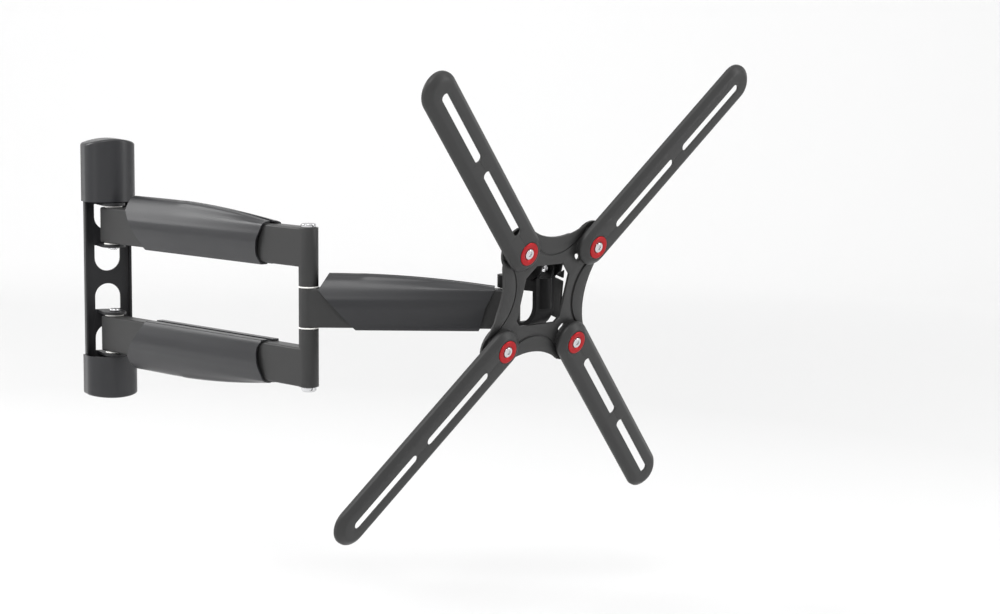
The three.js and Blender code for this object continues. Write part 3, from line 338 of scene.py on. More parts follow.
def coated(name, color, gloss, grain_scale, grain_height, dust, lift=1.35, **constants):
    """A sprayed or moulded finish: grain in its bump, marks in its gloss and a trace of dust in its colour."""
    material, tree, shader, coordinates = new_material(name, color, **constants)
    place = coordinates.outputs["Object"]
    grain = placed_group(tree, "Fine Grain", Scale=grain_scale, Roughen=0.45)
    marks = placed_group(tree, "Handling Marks", Scale=16.0, Low=gloss[0], High=gloss[1])
    film = placed_group(tree, "Light Dust", Amount=dust)
    for node in (grain, marks, film):
        link(tree, place, node.inputs["Vector"])
    shade = add_node(tree, "ShaderNodeMix", data_type="RGBA")
    shade.inputs[6].default_value = (*color, 1.0)
    shade.inputs[7].default_value = (*(min(1.0, part * lift) for part in color), 1.0)
    link(tree, grain.outputs["Mask"], shade.inputs[0])
    dusty = add_node(tree, "ShaderNodeMix", data_type="RGBA")
    dusty.inputs[7].default_value = (0.42, 0.41, 0.39, 1.0)
    link(tree, film.outputs["Mask"], dusty.inputs[0])
    link(tree, shade.outputs[2], dusty.inputs[6])
    link(tree, dusty.outputs[2], shader.inputs["Base Color"])
    link(tree, marks.outputs["Roughness"], shader.inputs["Roughness"])
    bump = add_node(tree, "ShaderNodeBump", {"Strength": 1.0, "Distance": grain_height})
    link(tree, grain.outputs["Height"], bump.inputs["Height"])
    link(tree, bump.outputs["Normal"], shader.inputs["Normal"])
    return material


def turned_metal(name, color, metallic, gloss, rings, ring_height, **constants):
    """A turned or anodised finish: tool rings along the profile and uneven gloss."""
    material, tree, shader, coordinates = new_material(name, color, metallic, **constants)
    marks = placed_group(tree, "Handling Marks", Scale=90.0, Low=gloss[0], High=gloss[1])
    link(tree, coordinates.outputs["Object"], marks.inputs["Vector"])
    link(tree, marks.outputs["Roughness"], shader.inputs["Roughness"])
    lathe = placed_group(tree, "Turned Rings", Rings=rings)
    link(tree, coordinates.outputs["UV"], lathe.inputs["Vector"])
    shade = add_node(tree, "ShaderNodeMix", data_type="RGBA")
    shade.inputs[6].default_value = (*(part * 0.82 for part in color), 1.0)
    shade.inputs[7].default_value = (*color, 1.0)
    link(tree, marks.outputs["Mask"], shade.inputs[0])
    link(tree, shade.outputs[2], shader.inputs["Base Color"])
    bump = add_node(tree, "ShaderNodeBump", {"Strength": 1.0, "Distance": ring_height})
    link(tree, lathe.outputs["Height"], bump.inputs["Height"])
    link(tree, bump.outputs["Normal"], shader.inputs["Normal"])
    return material


def finish(name):
    """One of the mount's finishes, built the first time it is asked for."""
    found = bpy.data.materials.get(name)
    if found:
        return found
    colours = bpy.context.scene.mount_colours
    makers = {
        "smooth_coat": lambda: coated(name, colours.coat[:], (0.38, 0.48), 700.0, 0.00003, 0.015,
                                      **{"Specular IOR Level": 0.34}),
        # Painted shade: a darker, less shiny copy of the smooth coat, for the swivel head that lies in shade.
        "shade_darkened_coat": lambda: coated(name, colours.black[:], (0.4, 0.5), 700.0, 0.00003, 0.008,
                                     **{"Specular IOR Level": 0.12}),
        "textured_coat": lambda: coated(name, colours.texture[:], (0.46, 0.56), 1100.0, 0.00010, 0.015,
                                        **{"Specular IOR Level": 0.2}),
        "satin_plastic": lambda: coated(name, colours.plastic[:], (0.30, 0.37), 1500.0, 0.00002, 0.02, 1.15,
                                        **{"Specular IOR Level": 0.42}),
        "white_nylon": lambda: coated(name, colours.nylon[:], (0.38, 0.5), 800.0, 0.00002, 0.0, 0.96),
        "bright_zinc": lambda: turned_metal(name, colours.zinc[:], 1.0, (0.18, 0.3), 40.0, 0.00003),
        "red_anodised": lambda: turned_metal(name, colours.red[:], 0.35, (0.3, 0.42), 30.0, 0.00005),
    }
    return makers[name]()


# ---- surfaces -----------------------------------------------------------------------------------

def patch(points, close_u=False, close_v=False):
    """Vertices, quads and grid coordinates of a grid of points [nu, nv, 3]."""
    nu, nv = points.shape[:2]
    index = np.arange(nu * nv).reshape(nu, nv)
    rows = np.concatenate([index, index[:1]]) if close_u else index
    rows = np.concatenate([rows, rows[:, :1]], axis=1) if close_v else rows
    quads = np.stack([rows[:-1, :-1], rows[1:, :-1], rows[1:, 1:], rows[:-1, 1:]], axis=-1)
    return points.reshape(-1, 3), quads.reshape(-1, 4), np.stack(np.meshgrid(
        np.linspace(0, 1, nu), np.linspace(0, 1, nv), indexing="ij"), axis=-1).reshape(-1, 2)


def to_row(points, local):
    """Local millimetres into the row frame in metres: origin plus the axes weighted by the coordinates."""
    origin, basis = local
    return (origin + points @ basis) * MM


def new_piece(name, patches, local, material, body, replaces=(), crease=35.0):
    """A closed smooth piece from patches: doubles merged, faces outward and edges sharp past the crease."""
    vertices, quads, coordinates, start = [], [], [], 0
    for points, faces, uv in patches:
        vertices.append(to_row(points, local))
        quads.append(faces + start)
        coordinates.append(uv)
        start += len(points)
    vertices, quads, coordinates = map(np.concatenate, (vertices, quads, coordinates))
    mesh = bpy.data.meshes.new(name)
    mesh.from_pydata(vertices.tolist(), [], quads.tolist())
    layer = mesh.uv_layers.new(name="UVMap")
    loops = np.zeros(len(mesh.loops), np.int32)
    mesh.loops.foreach_get("vertex_index", loops)
    layer.data.foreach_set("uv", coordinates[loops].astype(np.float32).ravel())
    return dress(mesh, name, material, body, replaces, crease)


def dress(mesh, name, material, body, replaces=(), crease=35.0):
    """Cleans a mesh, smooths it up to the crease angle, and puts it on its body with its finish."""
    form = bmesh.new()
    form.from_mesh(mesh)
    bmesh.ops.remove_doubles(form, verts=form.verts, dist=2e-6)
    bmesh.ops.dissolve_degenerate(form, edges=form.edges, dist=1e-7)
    bmesh.ops.recalc_face_normals(form, faces=form.faces)
    limit = math.radians(crease)
    for face in form.faces:
        face.smooth = True
    for edge in form.edges:
        edge.smooth = len(edge.link_faces) == 2 and edge.calc_face_angle(0.0) < limit
    form.to_mesh(mesh)
    form.free()
    mesh.materials.clear()
    mesh.materials.append(finish(material))
    piece = bpy.data.objects.new(name, mesh)
    bpy.context.scene.collection.objects.link(piece)
    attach(piece, body)
    if replaces:
        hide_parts(*replaces)
    return piece


def rounded(profile, radius, steps=4):
    """A closed profile [n, 2] whose corners are replaced by arcs: quadratic curves between points set back by
    the radius from each corner, or by less where a side is short."""
    points = np.asarray(profile, float)
    before = np.roll(points, 1, axis=0)
    after = np.roll(points, -1, axis=0)
    reach_in = np.linalg.norm(before - points, axis=1)
    reach_out = np.linalg.norm(after - points, axis=1)
    set_back = np.minimum(radius, 0.45 * np.minimum(reach_in, reach_out))[:, None]
    first = points + (before - points) / reach_in[:, None] * set_back
    last = points + (after - points) / reach_out[:, None] * set_back
    t = np.linspace(0, 1, steps + 1)[None, :, None]
    curve = (1 - t) ** 2 * first[:, None] + 2 * t * (1 - t) * points[:, None] + t ** 2 * last[:, None]
    return curve.reshape(-1, 2)


def lathe(profile, radius=0.5, sides=48, axis="z", centre=(0.0, 0.0, 0.0), facets=None):
    """A turned piece: the closed profile of (radius, height) points is rounded and carried round the axis.
    facets = (low, high, count) turns radii between low and high into a polygon of count sides."""
    ring = rounded(profile, radius)
    turn = np.linspace(0, 2 * np.pi, sides, endpoint=False)
    reach = np.repeat(ring[None, :, 0], sides, axis=0)
    if facets:
        low, high, count = facets
        sector = 2 * np.pi / count
        stretch = math.cos(sector / 2) / np.cos((turn % sector) - sector / 2)
        inside = (reach > low) & (reach < high)
        reach = np.where(inside, reach * stretch[:, None], reach)
    across, up = reach * np.cos(turn)[:, None], reach * np.sin(turn)[:, None]
    along = np.repeat(ring[None, :, 1], sides, axis=0)
    order = {"z": (across, up, along), "x": (along, across, up), "y": (across, along, up)}[axis]
    return patch(np.stack(order, axis=-1) + np.asarray(centre, float), close_u=True, close_v=True)


# ---- finishing the machined pieces --------------------------------------------------------------

def eased_copy(node, material, width=0.4, segments=2):
    """A merged copy of a machined piece: flat faces joined, and sharp edges eased by a small bevel."""
    source = frame["nodes"][node]
    mesh = source.data.copy()
    form = bmesh.new()
    form.from_mesh(mesh)
    bmesh.ops.remove_doubles(form, verts=form.verts, dist=1e-6)
    bmesh.ops.dissolve_limit(form, angle_limit=math.radians(0.6), verts=form.verts, edges=form.edges)
    sharp = [edge for edge in form.edges
             if len(edge.link_faces) == 2 and edge.calc_face_angle(0.0) > math.radians(32)]
    bmesh.ops.bevel(form, geom=sharp, offset=width * MM, segments=segments, profile=0.6, affect="EDGES",
                    clamp_overlap=False)
    wide = [face for face in form.faces if len(face.verts) > 4]
    bmesh.ops.triangulate(form, faces=wide)
    form.to_mesh(mesh)
    form.free()
    return dress(mesh, f"{node}_finish", material, source["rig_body"], (node,), 30.0)


SMOOTH_NODES = ("wall_plate",)
# Painted shade: these pieces take the darker copy of the coat, which stands in for the shade they lie in.
SHADE_DARKENED_NODES = ("swivel_bracket", "tilt_yoke")
TEXTURED_NODES = ("upper_arm_tube", "lower_arm_tube", "forearm_tube", "centre_plate")
BRIGHT_NODES = ("upper_pin_clip", "lower_pin_clip", "head_nut", "tilt_nut_left", "tilt_nut_right")


class MOUNT_OT_machined(bpy.types.Operator):
    """Gives the pressed, welded and cut pieces eased edges and their finishes"""

    bl_idname = "mount.machined"
    bl_label = "Machined Pieces"

    def execute(self, context):
        for node in SMOOTH_NODES:
            eased_copy(node, "smooth_coat")
        for node in SHADE_DARKENED_NODES:
            eased_copy(node, "shade_darkened_coat")
        for node in TEXTURED_NODES:
            eased_copy(node, "textured_coat")
        for node in BRIGHT_NODES:
            eased_copy(node, "bright_zinc", 0.25)
        return {"FINISHED"}


# ---- arm covers ---------------------------------------------------------------------------------

TUBE_HEIGHT = 39.0
COLUMN_TOP = 79.5
TUBE_HALF_WIDTH = 10.0
FOOT_SEAM = 3.0
RIDGE_SEAM = 2.6
GAP = 0.3
COVER_STATIONS = 72
COVER_STEPS = 64
HEIGHT_PASSES = 6


def outline_ends(outline, height):
    """Where a cover starts and ends at a height, between the points of its two slanted ends."""
    start, end = outline
    return (np.interp(height, [z for _, z in start], [s for s, _ in start]),
            np.interp(height, [z for _, z in end], [s for s, _ in end]))


def cover_section(t, swell, ridge, seam, sizes):
    """Outer half section of a cover. t runs from the parting line underneath (0), out round the foot, up the
    swelling side and over the cable channel to the parting line on top (1). The side is a smooth curve through
    named heights; swell, ridge and half the seam's opening vary along the arm."""
    wall = sizes.wall / MM
    foot = TUBE_HALF_WIDTH + GAP + wall
    bulge = sizes.bulge / MM * swell
    rise = ridge - sizes.ridge_end / MM
    h = TUBE_HEIGHT
    knots = np.array([0, 0.12, 0.18, 0.28, 0.41, 0.5, 0.59, 0.68, 0.75, 0.82, 0.88, 0.94, 1.0])
    zeros = np.zeros_like(bulge)
    top = h + GAP + wall
    across = np.stack([zeros + FOOT_SEAM, zeros + foot - 1.6, zeros + foot, foot + 0.42 * bulge,
                       foot + 0.86 * bulge, foot + bulge, foot + 0.88 * bulge, foot + 0.52 * bulge,
                       foot + 0.06 * bulge, zeros + 0.88 * foot, zeros + 0.67 * foot,
                       seam + 0.38 * (foot - seam), seam], axis=-1)
    up = np.stack([zeros - GAP - wall, zeros - GAP - wall, zeros + 0.4, zeros + 0.17 * h, zeros + 0.4 * h,
                   zeros + 0.55 * h, zeros + 0.7 * h, zeros + 0.85 * h, h + 0.05 * rise, top - 1.1 + 0.3 * rise,
                   top - 0.4 + 0.62 * rise, top - 0.1 + 0.88 * rise, top + rise], axis=-1)
    return smooth_through(knots, across, t), smooth_through(knots, up, t)


def smooth_through(knots, values, t):
    """A monotone smooth curve through values at knots: each span is a cubic with slopes that are the harmonic
    mean of the chords on both sides, or zero where they differ in sign."""
    gaps = np.diff(knots)
    chords = np.diff(values, axis=-1) / gaps
    left, right = chords[..., :-1], chords[..., 1:]
    product = left * right
    total = np.where(product > 0, left + right, 1.0)
    inner = np.where(product > 0, 2 * product / total, 0.0)
    slopes = np.concatenate([chords[..., :1], inner, chords[..., -1:]], axis=-1)
    span = np.clip(np.searchsorted(knots, t, side="right") - 1, 0, len(gaps) - 1)
    u = (t - knots[span]) / gaps[span]

    def take(table, offset=0):
        return np.take_along_axis(table, (span + offset)[..., None], axis=-1)[..., 0]

    h00, h10 = 2 * u ** 3 - 3 * u ** 2 + 1, u ** 3 - 2 * u ** 2 + u
    h01, h11 = -2 * u ** 3 + 3 * u ** 2, u ** 3 - u ** 2
    return (h00 * take(values) + h10 * gaps[span] * take(slopes)
            + h01 * take(values, 1) + h11 * gaps[span] * take(slopes, 1))


def cover_half(name, side, up, base, outline, crest, end, local, body, sizes):
    """Half of a cover as a curved sheet with a wall: stations run between the two slanted ends, whose place
    depends on the height, so the height is worked out again and again until both agree."""
    along = np.linspace(0, 1, COVER_STATIONS)[:, None]
    t = np.linspace(0, 1, COVER_STEPS)[None, :]
    start_point = min(s for s, _ in outline[0])
    height = np.full((COVER_STATIONS, COVER_STEPS), TUBE_HEIGHT / 2)
    for _ in range(HEIGHT_PASSES):
        first, last = outline_ends(outline, height)
        s = first + (last - first) * np.broadcast_to(along, height.shape)
        fade = np.clip((s - crest) / (end - crest), 0, 1)
        ridge = (sizes.ridge_end + (sizes.ridge - sizes.ridge_end) * (1 - fade ** 2)) / MM
        swell = 1 - 0.45 * np.clip((s - start_point) / (end - start_point), 0, 1) ** 1.5
        opened = np.clip((s - crest - 25) / 15, 0, 1)
        seam = 0.15 + RIDGE_SEAM * opened ** 2 * (3 - 2 * opened)
        across, height = cover_section(np.broadcast_to(t, s.shape), swell, ridge, seam, sizes)
    points = np.stack([s, side * across, up * (base + height)], axis=-1)
    piece = new_piece(f"{name}_shell", [patch(points)], local, "satin_plastic", body, (name,),
                      50.0)
    outward_from(piece, local)
    inward_wall(piece, sizes.wall)
    ease = piece.modifiers.new("eased edges", "BEVEL")
    ease.width = 0.0004
    ease.segments = 2
    ease.limit_method = "ANGLE"
    ease.angle_limit = math.radians(50)


def inward_wall(piece, thickness):
    """Gives an open sheet its wall, on the side its faces turn away from."""
    shell = piece.modifiers.new("wall", "SOLIDIFY")
    shell.thickness = thickness
    shell.offset = -1.0
    shell.use_even_offset = True


def outward_from(piece, local):
    """Turns an open sheet's faces away from the middle line of its local frame."""
    origin, basis = local
    form = bmesh.new()
    form.from_mesh(piece.data)
    middle = sum((face.calc_center_median() for face in form.faces), Vector()) / len(form.faces)
    start = Vector(origin * MM)
    direction = Vector(basis[0])
    score = 0.0
    for face in form.faces:
        centre = face.calc_center_median()
        nearest = start + direction * (centre - start).dot(direction)
        nearest.z = middle.z
        score += face.normal.dot(centre - nearest) * face.calc_area()
    if score < 0:
        bmesh.ops.reverse_faces(form, faces=form.faces)
    form.to_mesh(piece.data)
    form.free()


ARM_COVER = (
    [(81.0, -6.0), (75.0, 0.0), (55.0, 24.0), (42.0, 39.0), (44.0, 55.0)],
    [(283.0, -6.0), (280.0, 0.0), (275.5, 6.0), (275.0, 12.0), (277.0, 23.0), (285.0, 40.0), (287.0, 55.0)],
)
FOREARM_COVER = (
    [(47.3, -2.0), (45.3, 0.0), (10.3, 38.0), (22.0, 56.0)],
    [(169.0, -2.0), (170.0, 0.0), (175.5, 21.0), (184.5, 39.0), (186.0, 56.0)],
)


class MOUNT_OT_covers(bpy.types.Operator):
    """Builds the curved two-piece covers of the three arms"""

    bl_idname = "mount.covers"
    bl_label = "Arm Covers"

    def execute(self, context):
        sizes = context.scene.mount_covers
        inner = COLUMN_TOP - TUBE_HEIGHT
        for face, side in (("front", -1), ("back", 1)):
            for level, up in (("upper", 1), ("lower", -1)):
                cover_half(f"{level}_arm_cover_{face}", side, up, inner, ARM_COVER, 100.0, 291.0, ARM_FRAME,
                           "arm_pair", sizes)
            cover_half(f"forearm_cover_{face}", side, 1, -TUBE_HEIGHT / 2, FOREARM_COVER, 20.0, 188.5,
                       FOREARM_FRAME, "forearm", sizes)
        return {"FINISHED"}


# ---- end caps -----------------------------------------------------------------------------------

CAP_EDGE = 2.4
CAP_LEVELS = 24
CAP_SIDE_STEPS = 9
BEND_STEPS = 8
DRAWN_STEPS = 13


def cap_shell(name, up, arch, sizes):
    """An end cap: its plan (straight sides, bowed front) is carried up to an arched end, turned over a small
    radius and drawn in to the middle of the end face. The wall is added inward."""
    low, high = box_mm(name)
    half = (high - low)[0] / 2
    side, depth = sizes.cap_side / MM, sizes.cap_depth / MM
    start, tip = (low[2], high[2]) if up > 0 else (high[2], low[2])
    corner = tip - up * arch
    radius = CAP_EDGE
    turn = np.linspace(0, np.pi, 61)
    bowed = np.stack([half * np.cos(turn), -side - (depth - side) * np.sin(turn)], axis=-1)
    straight = np.linspace(0, -side, CAP_SIDE_STEPS + 1)[:-1]
    right = np.stack([np.full(CAP_SIDE_STEPS, half), straight], axis=-1)
    left = np.stack([np.full(CAP_SIDE_STEPS, -half), straight[::-1]], axis=-1)
    plan = np.concatenate([right, bowed, left])
    bend = np.linspace(0, np.pi / 2, BEND_STEPS + 1)[1:]
    drawn = np.linspace(0, 1, DRAWN_STEPS + 1)[1:]
    edge = radius / half
    shrink = np.concatenate([np.zeros(CAP_LEVELS), (1 - np.cos(bend)) * edge, edge + (1 - edge) * drawn])
    drop = np.concatenate([np.full(CAP_LEVELS, radius), radius * (1 - np.sin(bend)), np.zeros(DRAWN_STEPS)])
    level = np.concatenate([np.linspace(0, 1, CAP_LEVELS), np.ones(BEND_STEPS + DRAWN_STEPS)])[:, None]
    x = plan[None, :, 0] * (1 - shrink)[:, None]
    y = plan[None, :, 1] * (1 - shrink)[:, None]
    end = corner + up * arch * (1 - (x / half) ** 2)
    z = start + (end - up * drop[:, None] - start) * level
    points = np.stack([x, y, z], axis=-1)
    piece = new_piece(f"{name}_shell", [patch(points)], WALL_FRAME, "satin_plastic", "wall_bracket", (name,),
                      50.0)
    outward_from_point(piece, Vector((0.0, -0.012, (start + corner) / 2 * MM)))
    inward_wall(piece, sizes.wall)


def outward_from_point(piece, middle):
    """Turns an open sheet's faces away from a point inside it."""
    form = bmesh.new()
    form.from_mesh(piece.data)
    score = sum(face.normal.dot(face.calc_center_median() - middle) * face.calc_area() for face in form.faces)
    if score < 0:
        bmesh.ops.reverse_faces(form, faces=form.faces)
    form.to_mesh(piece.data)
    form.free()


class MOUNT_OT_caps(bpy.types.Operator):
    """Builds the two domed end caps of the wall bracket"""

    bl_idname = "mount.caps"
    bl_label = "End Caps"

    def execute(self, context):
        sizes = context.scene.mount_covers
        cap_shell("top_cap", 1, sizes.top_arch / MM, sizes)
        cap_shell("bottom_cap", -1, sizes.bottom_arch / MM, sizes)
        return {"FINISHED"}


# ---- television arms ----------------------------------------------------------------------------

SLOT_ENDS = ((100.0, 191.0), (207.0, 298.0))
WASHER_PROUD = 0.8
RECESS_GAP = 0.3
HUB_BORE = 4.3
HUB_TO_CENTRE = 50.0 * math.sqrt(2.0)
ARM_TIP = 318.0


def slot_reach(s, holes):
    """Half width of the opening at each distance along the arm: round ends and straight sides, zero between."""
    half = np.zeros_like(s)
    for first, last, radius in holes:
        nearest = np.clip(s, first + radius, last - radius)
        offset = np.abs(s - nearest)
        inside = offset < radius
        half = np.where(inside, np.maximum(half, np.sqrt(np.maximum(radius ** 2 - offset ** 2, 0))), half)
    return half


def arm_stations(holes, length):
    """Distances along the arm, close together near the round ends of its holes and spread between them."""
    marks = [np.array([0.0, length])]
    for first, last, radius in holes:
        ease = radius * (1 - np.cos(np.linspace(0, np.pi / 2, 9)))
        marks += [first + ease, last - ease]
        marks.append(np.linspace(first + radius, last - radius, 5))
    stations = np.concatenate(marks)
    return np.unique(np.round(np.clip(stations, 0, length), 4))


def television_arm(name, sizes):
    """A pressed arm. Its outline is a long straight side with half-round ends. From each point of the outline a
    line runs square inward to the middle or to the edge of a hole, and carries one closed section: rim, sloping
    side, web, hole edge and the same again one sheet behind."""
    half = sizes.width / 2 / MM
    depth, sheet = sizes.depth / MM, sizes.sheet / MM
    slope, slope_depth = sizes.slope / MM, sizes.slope_depth / MM
    slot = sizes.slot / 2 / MM
    recess = sizes.washer / MM + RECESS_GAP
    length = ARM_TIP - HUB_TO_CENTRE - half
    holes = [(-recess, recess, recess)]
    holes += [(first - HUB_TO_CENTRE, last - HUB_TO_CENTRE, slot) for first, last in SLOT_ENDS]
    front, back = -WASHER_PROUD, -WASHER_PROUD - depth
    shoulder = front - slope_depth
    s = arm_stations(holes, length)
    reach = half - slot_reach(s, holes)
    hub_turn = np.linspace(-np.pi / 2, 0, 15)[:-1]
    tip_turn = np.linspace(0, np.pi / 2, 15)[1:]
    middle = np.concatenate([np.zeros(14), s, np.full(14, length)])
    angle = np.concatenate([hub_turn, np.zeros(len(s)), tip_turn])
    inward = np.concatenate([np.full(14, half - recess), reach, np.full(14, half)])
    base = [(0, back), (0, shoulder), (slope, front), (np.nan, front), (np.nan, front - sheet),
            (slope + 0.4 * sheet, front - sheet), (sheet, shoulder - 0.6 * sheet), (sheet, back)]
    sections = []
    for inset, level in base:
        sections.append(np.stack([inward if np.isnan(inset) else np.full_like(inward, inset),
                                  np.full_like(inward, level)], axis=-1))
    ring = np.stack(sections, axis=1)
    ring = round_sections(ring, [0.5, 1.8, 2.2, 0.35, 0.35, 1.4, 1.2, 0.5])
    from_edge, level = ring[..., 0], ring[..., 1]
    radius = half - from_edge
    across = radius * np.cos(angle)[:, None]
    along = middle[:, None] + radius * np.sin(angle)[:, None]
    sides = []
    for sign in (-1, 1):
        sides.append(patch(np.stack([level, sign * across, along], axis=-1), close_v=True))
    hub = hub_dish(recess, front, back, sheet)
    new_piece(f"{name}_pressing", sides + [hub], arm_frame(name), "textured_coat", f"tv_arm_{name}",
              (f"{name}_tv_arm",), 40.0)


def round_sections(ring, radii, steps=3):
    """Rounds every section of [stations, points, 2] as rounded() does, with one radius for each point."""
    before, after = np.roll(ring, 1, axis=1), np.roll(ring, -1, axis=1)
    reach_in = np.linalg.norm(before - ring, axis=-1, keepdims=True)
    reach_out = np.linalg.norm(after - ring, axis=-1, keepdims=True)
    limit = 0.45 * np.minimum(reach_in, reach_out)
    set_back = np.minimum(np.asarray(radii)[None, :, None], limit)
    first = ring + (before - ring) / np.maximum(reach_in, 1e-9) * set_back
    last = ring + (after - ring) / np.maximum(reach_out, 1e-9) * set_back
    t = np.linspace(0, 1, steps + 1)[None, None, :, None]
    curve = ((1 - t) ** 2 * first[:, :, None] + 2 * t * (1 - t) * ring[:, :, None] + t ** 2 * last[:, :, None])
    return curve.reshape(ring.shape[0], -1, 2)


def hub_dish(recess, front, back, sheet):
    """The dish under a washer: a turned ring whose floor lies below the web and whose foot meets the lobe."""
    floor = -2.9
    profile = [(HUB_BORE, floor), (recess - 1.0, floor), (recess + 0.2, front - 0.3),
               (recess + 0.8, front - 0.3), (recess + 1.6, front - sheet - 0.6), (recess + 1.6, back),
               (HUB_BORE, back)]
    return lathe(profile, 0.5, 64, "x")


class MOUNT_OT_television_arms(bpy.types.Operator):
    """Builds the four pressed and slotted television arms"""

    bl_idname = "mount.television_arms"
    bl_label = "Television Arms"

    def execute(self, context):
        for name in HUBS:
            television_arm(name, context.scene.mount_arms)
        return {"FINISHED"}


# ---- hub hardware -------------------------------------------------------------------------------

NUT_BACK = -18.7
NUT_HEIGHT = 6.0


def hub_hardware(name, sizes):
    """A red washer, a socket-head screw and its nut on one hub."""
    radius = sizes.washer / MM
    local = (arm_frame(name)[0], PLATE_FRAME[1])
    washer = [(HUB_BORE, -2.6), (radius, -2.6), (radius, -0.5), (radius - 0.8, 0.0), (7.4, 0.0),
              (6.9, -0.25), (6.3, -0.25), (5.6, -0.7), (5.5, -1.8), (HUB_BORE, -1.8)]
    screw = [(0, -20.2), (4.0, -20.2), (4.0, -1.5), (5.2, -1.5), (5.2, 0.0), (4.5, 0.5), (2.7, 0.5),
             (2.6, -0.7), (0, -0.7)]
    low, high = NUT_BACK, NUT_BACK + NUT_HEIGHT
    nut = [(HUB_BORE, low), (7.2, low), (7.2, high), (HUB_BORE, high)]
    for part, profile, ease, facets, coat in (("washer", washer, 0.3, None, "red_anodised"),
                                              ("screw", screw, 0.3, (0.5, 2.95, 6), "bright_zinc"),
                                              ("nut", nut, 0.4, (5.0, 9.0, 6), "bright_zinc")):
        turned = lathe(profile, ease, 72, "x", facets=facets)
        new_piece(f"{name}_{part}_turned", [turned], local, coat, "tv_plate", (f"{name}_{part}",))


class MOUNT_OT_hub_hardware(bpy.types.Operator):
    """Builds the red washers, screws and nuts of the four hubs"""

    bl_idname = "mount.hub_hardware"
    bl_label = "Hub Hardware"

    def execute(self, context):
        for name in HUBS:
            hub_hardware(name, context.scene.mount_arms)
        return {"FINISHED"}


# ---- pivots -------------------------------------------------------------------------------------

PIN_SHANK = 4.0
HEAD_CROWN = 1.1
BUSH_BORE = 4.3
BUSH_SLEEVE = 5.8
FLANGE = 1.3


def upright_at(centre):
    """An upright local frame whose origin lies under a pivot, at the height of the frame's zero."""
    return np.array([centre[0], centre[1], 0.0]), WALL_FRAME[1]


def box_mm(node):
    """Lowest and highest corner of a machined piece, in millimetres."""
    low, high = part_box(node)
    return np.array(low) / MM, np.array(high) / MM


def turned_bush(node, centre, up, body):
    """A white flanged bush: a thin flange outside the knuckle and a sleeve inside it."""
    low, high = box_mm(node)
    flange = (high - low)[0] / 2
    face, end = (high[2], low[2]) if up > 0 else (low[2], high[2])
    back = face - up * FLANGE
    profile = [(BUSH_BORE, end), (BUSH_SLEEVE, end), (BUSH_SLEEVE, back), (flange, back), (flange, face),
               (BUSH_BORE, face)]
    new_piece(f"{node}_turned", [lathe(profile, 0.3, 64)], upright_at(centre), "white_nylon", body, (node,))


def turned_pin(node, centre, body, head, head_height):
    """An upright bolt or pin with a crowned round head on top."""
    low, high = box_mm(node)
    far, tip = low[2], high[2]
    seat = tip - head_height
    profile = [(0, far), (PIN_SHANK - 0.5, far), (PIN_SHANK, far + 0.6), (PIN_SHANK, seat), (head, seat),
               (head, tip - HEAD_CROWN), (head - 1.8, tip), (0, tip)]
    new_piece(f"{node}_turned", [lathe(profile, 0.6, 64)], upright_at(centre), "bright_zinc", body, (node,))


def tilt_bolt(node, side, body):
    """A tilt bolt along the tilt axis, its socket head on the inner side of its cheek."""
    local = (TILT, HEAD_FRAME[1])
    seat, head = 7.7, 3.4
    profile = [(0, side * 22.0), (3.0, side * 22.0), (3.0, side * seat), (4.6, side * seat),
               (4.6, side * (seat - head)), (2.1, side * (seat - head)), (2.0, side * (seat - head + 1.6)),
               (0, side * (seat - head + 1.6))]
    new_piece(f"{node}_turned", [lathe(profile, 0.3, 48, "y", facets=(0.5, 2.3, 6))], local, "bright_zinc",
              body, (node,))


class MOUNT_OT_pivots(bpy.types.Operator):
    """Builds the bushes, pins and bolts of every pivot"""

    bl_idname = "mount.pivots"
    bl_label = "Pivots"

    def execute(self, context):
        for level in ("upper", "lower"):
            for end, up in (("top", 1), ("bottom", -1)):
                turned_bush(f"{level}_wall_bush_{end}", WALL_PIVOT, up, "arm_pair")
            turned_pin(f"{level}_wall_pin", WALL_PIVOT, "wall_bracket", 5.7, 3.5)
        for end, up in (("top", 1), ("bottom", -1)):
            turned_bush(f"elbow_bush_{end}", ELBOW, up, "forearm")
            turned_bush(f"head_bush_{end}", HEAD, up, "forearm")
        turned_pin("elbow_bolt", ELBOW, "arm_pair", 7.7, 4.2)
        turned_pin("head_bolt", HEAD, "swivel_head", 7.7, 4.2)
        low, high = box_mm("elbow_cap_nut")
        profile = [(0, low[2]), (6.2, low[2]), (7.7, low[2] + 1.6), (7.7, high[2]), (4.3, high[2]),
                   (4.3, high[2] - 1.0), (0, high[2] - 1.0)]
        new_piece("elbow_cap_nut_turned", [lathe(profile, 0.5, 64)], upright_at(ELBOW), "bright_zinc",
                  "arm_pair", ("elbow_cap_nut",))
        for name, side in (("left", -1), ("right", 1)):
            tilt_bolt(f"tilt_bolt_{name}", side, "swivel_head")
            washer = lathe([(3.3, side * 12.3), (6.0, side * 12.3), (6.0, side * 13.1), (3.3, side * 13.1)],
                           0.2, 48, "y")
            new_piece(f"tilt_washer_{name}_turned", [washer], (TILT, HEAD_FRAME[1]), "white_nylon",
                      "swivel_head", (f"tilt_washer_{name}",))
        return {"FINISHED"}


# ---- stage --------------------------------------------------------------------------------------

CAMERA_PLACE = Vector((-0.7262, -2.5796, 0.2820))
CAMERA_HEADING = math.atan2(0.381, 0.9246)
CAMERA_PITCH = math.radians(6.77)
FLOOR_BELOW = 0.12


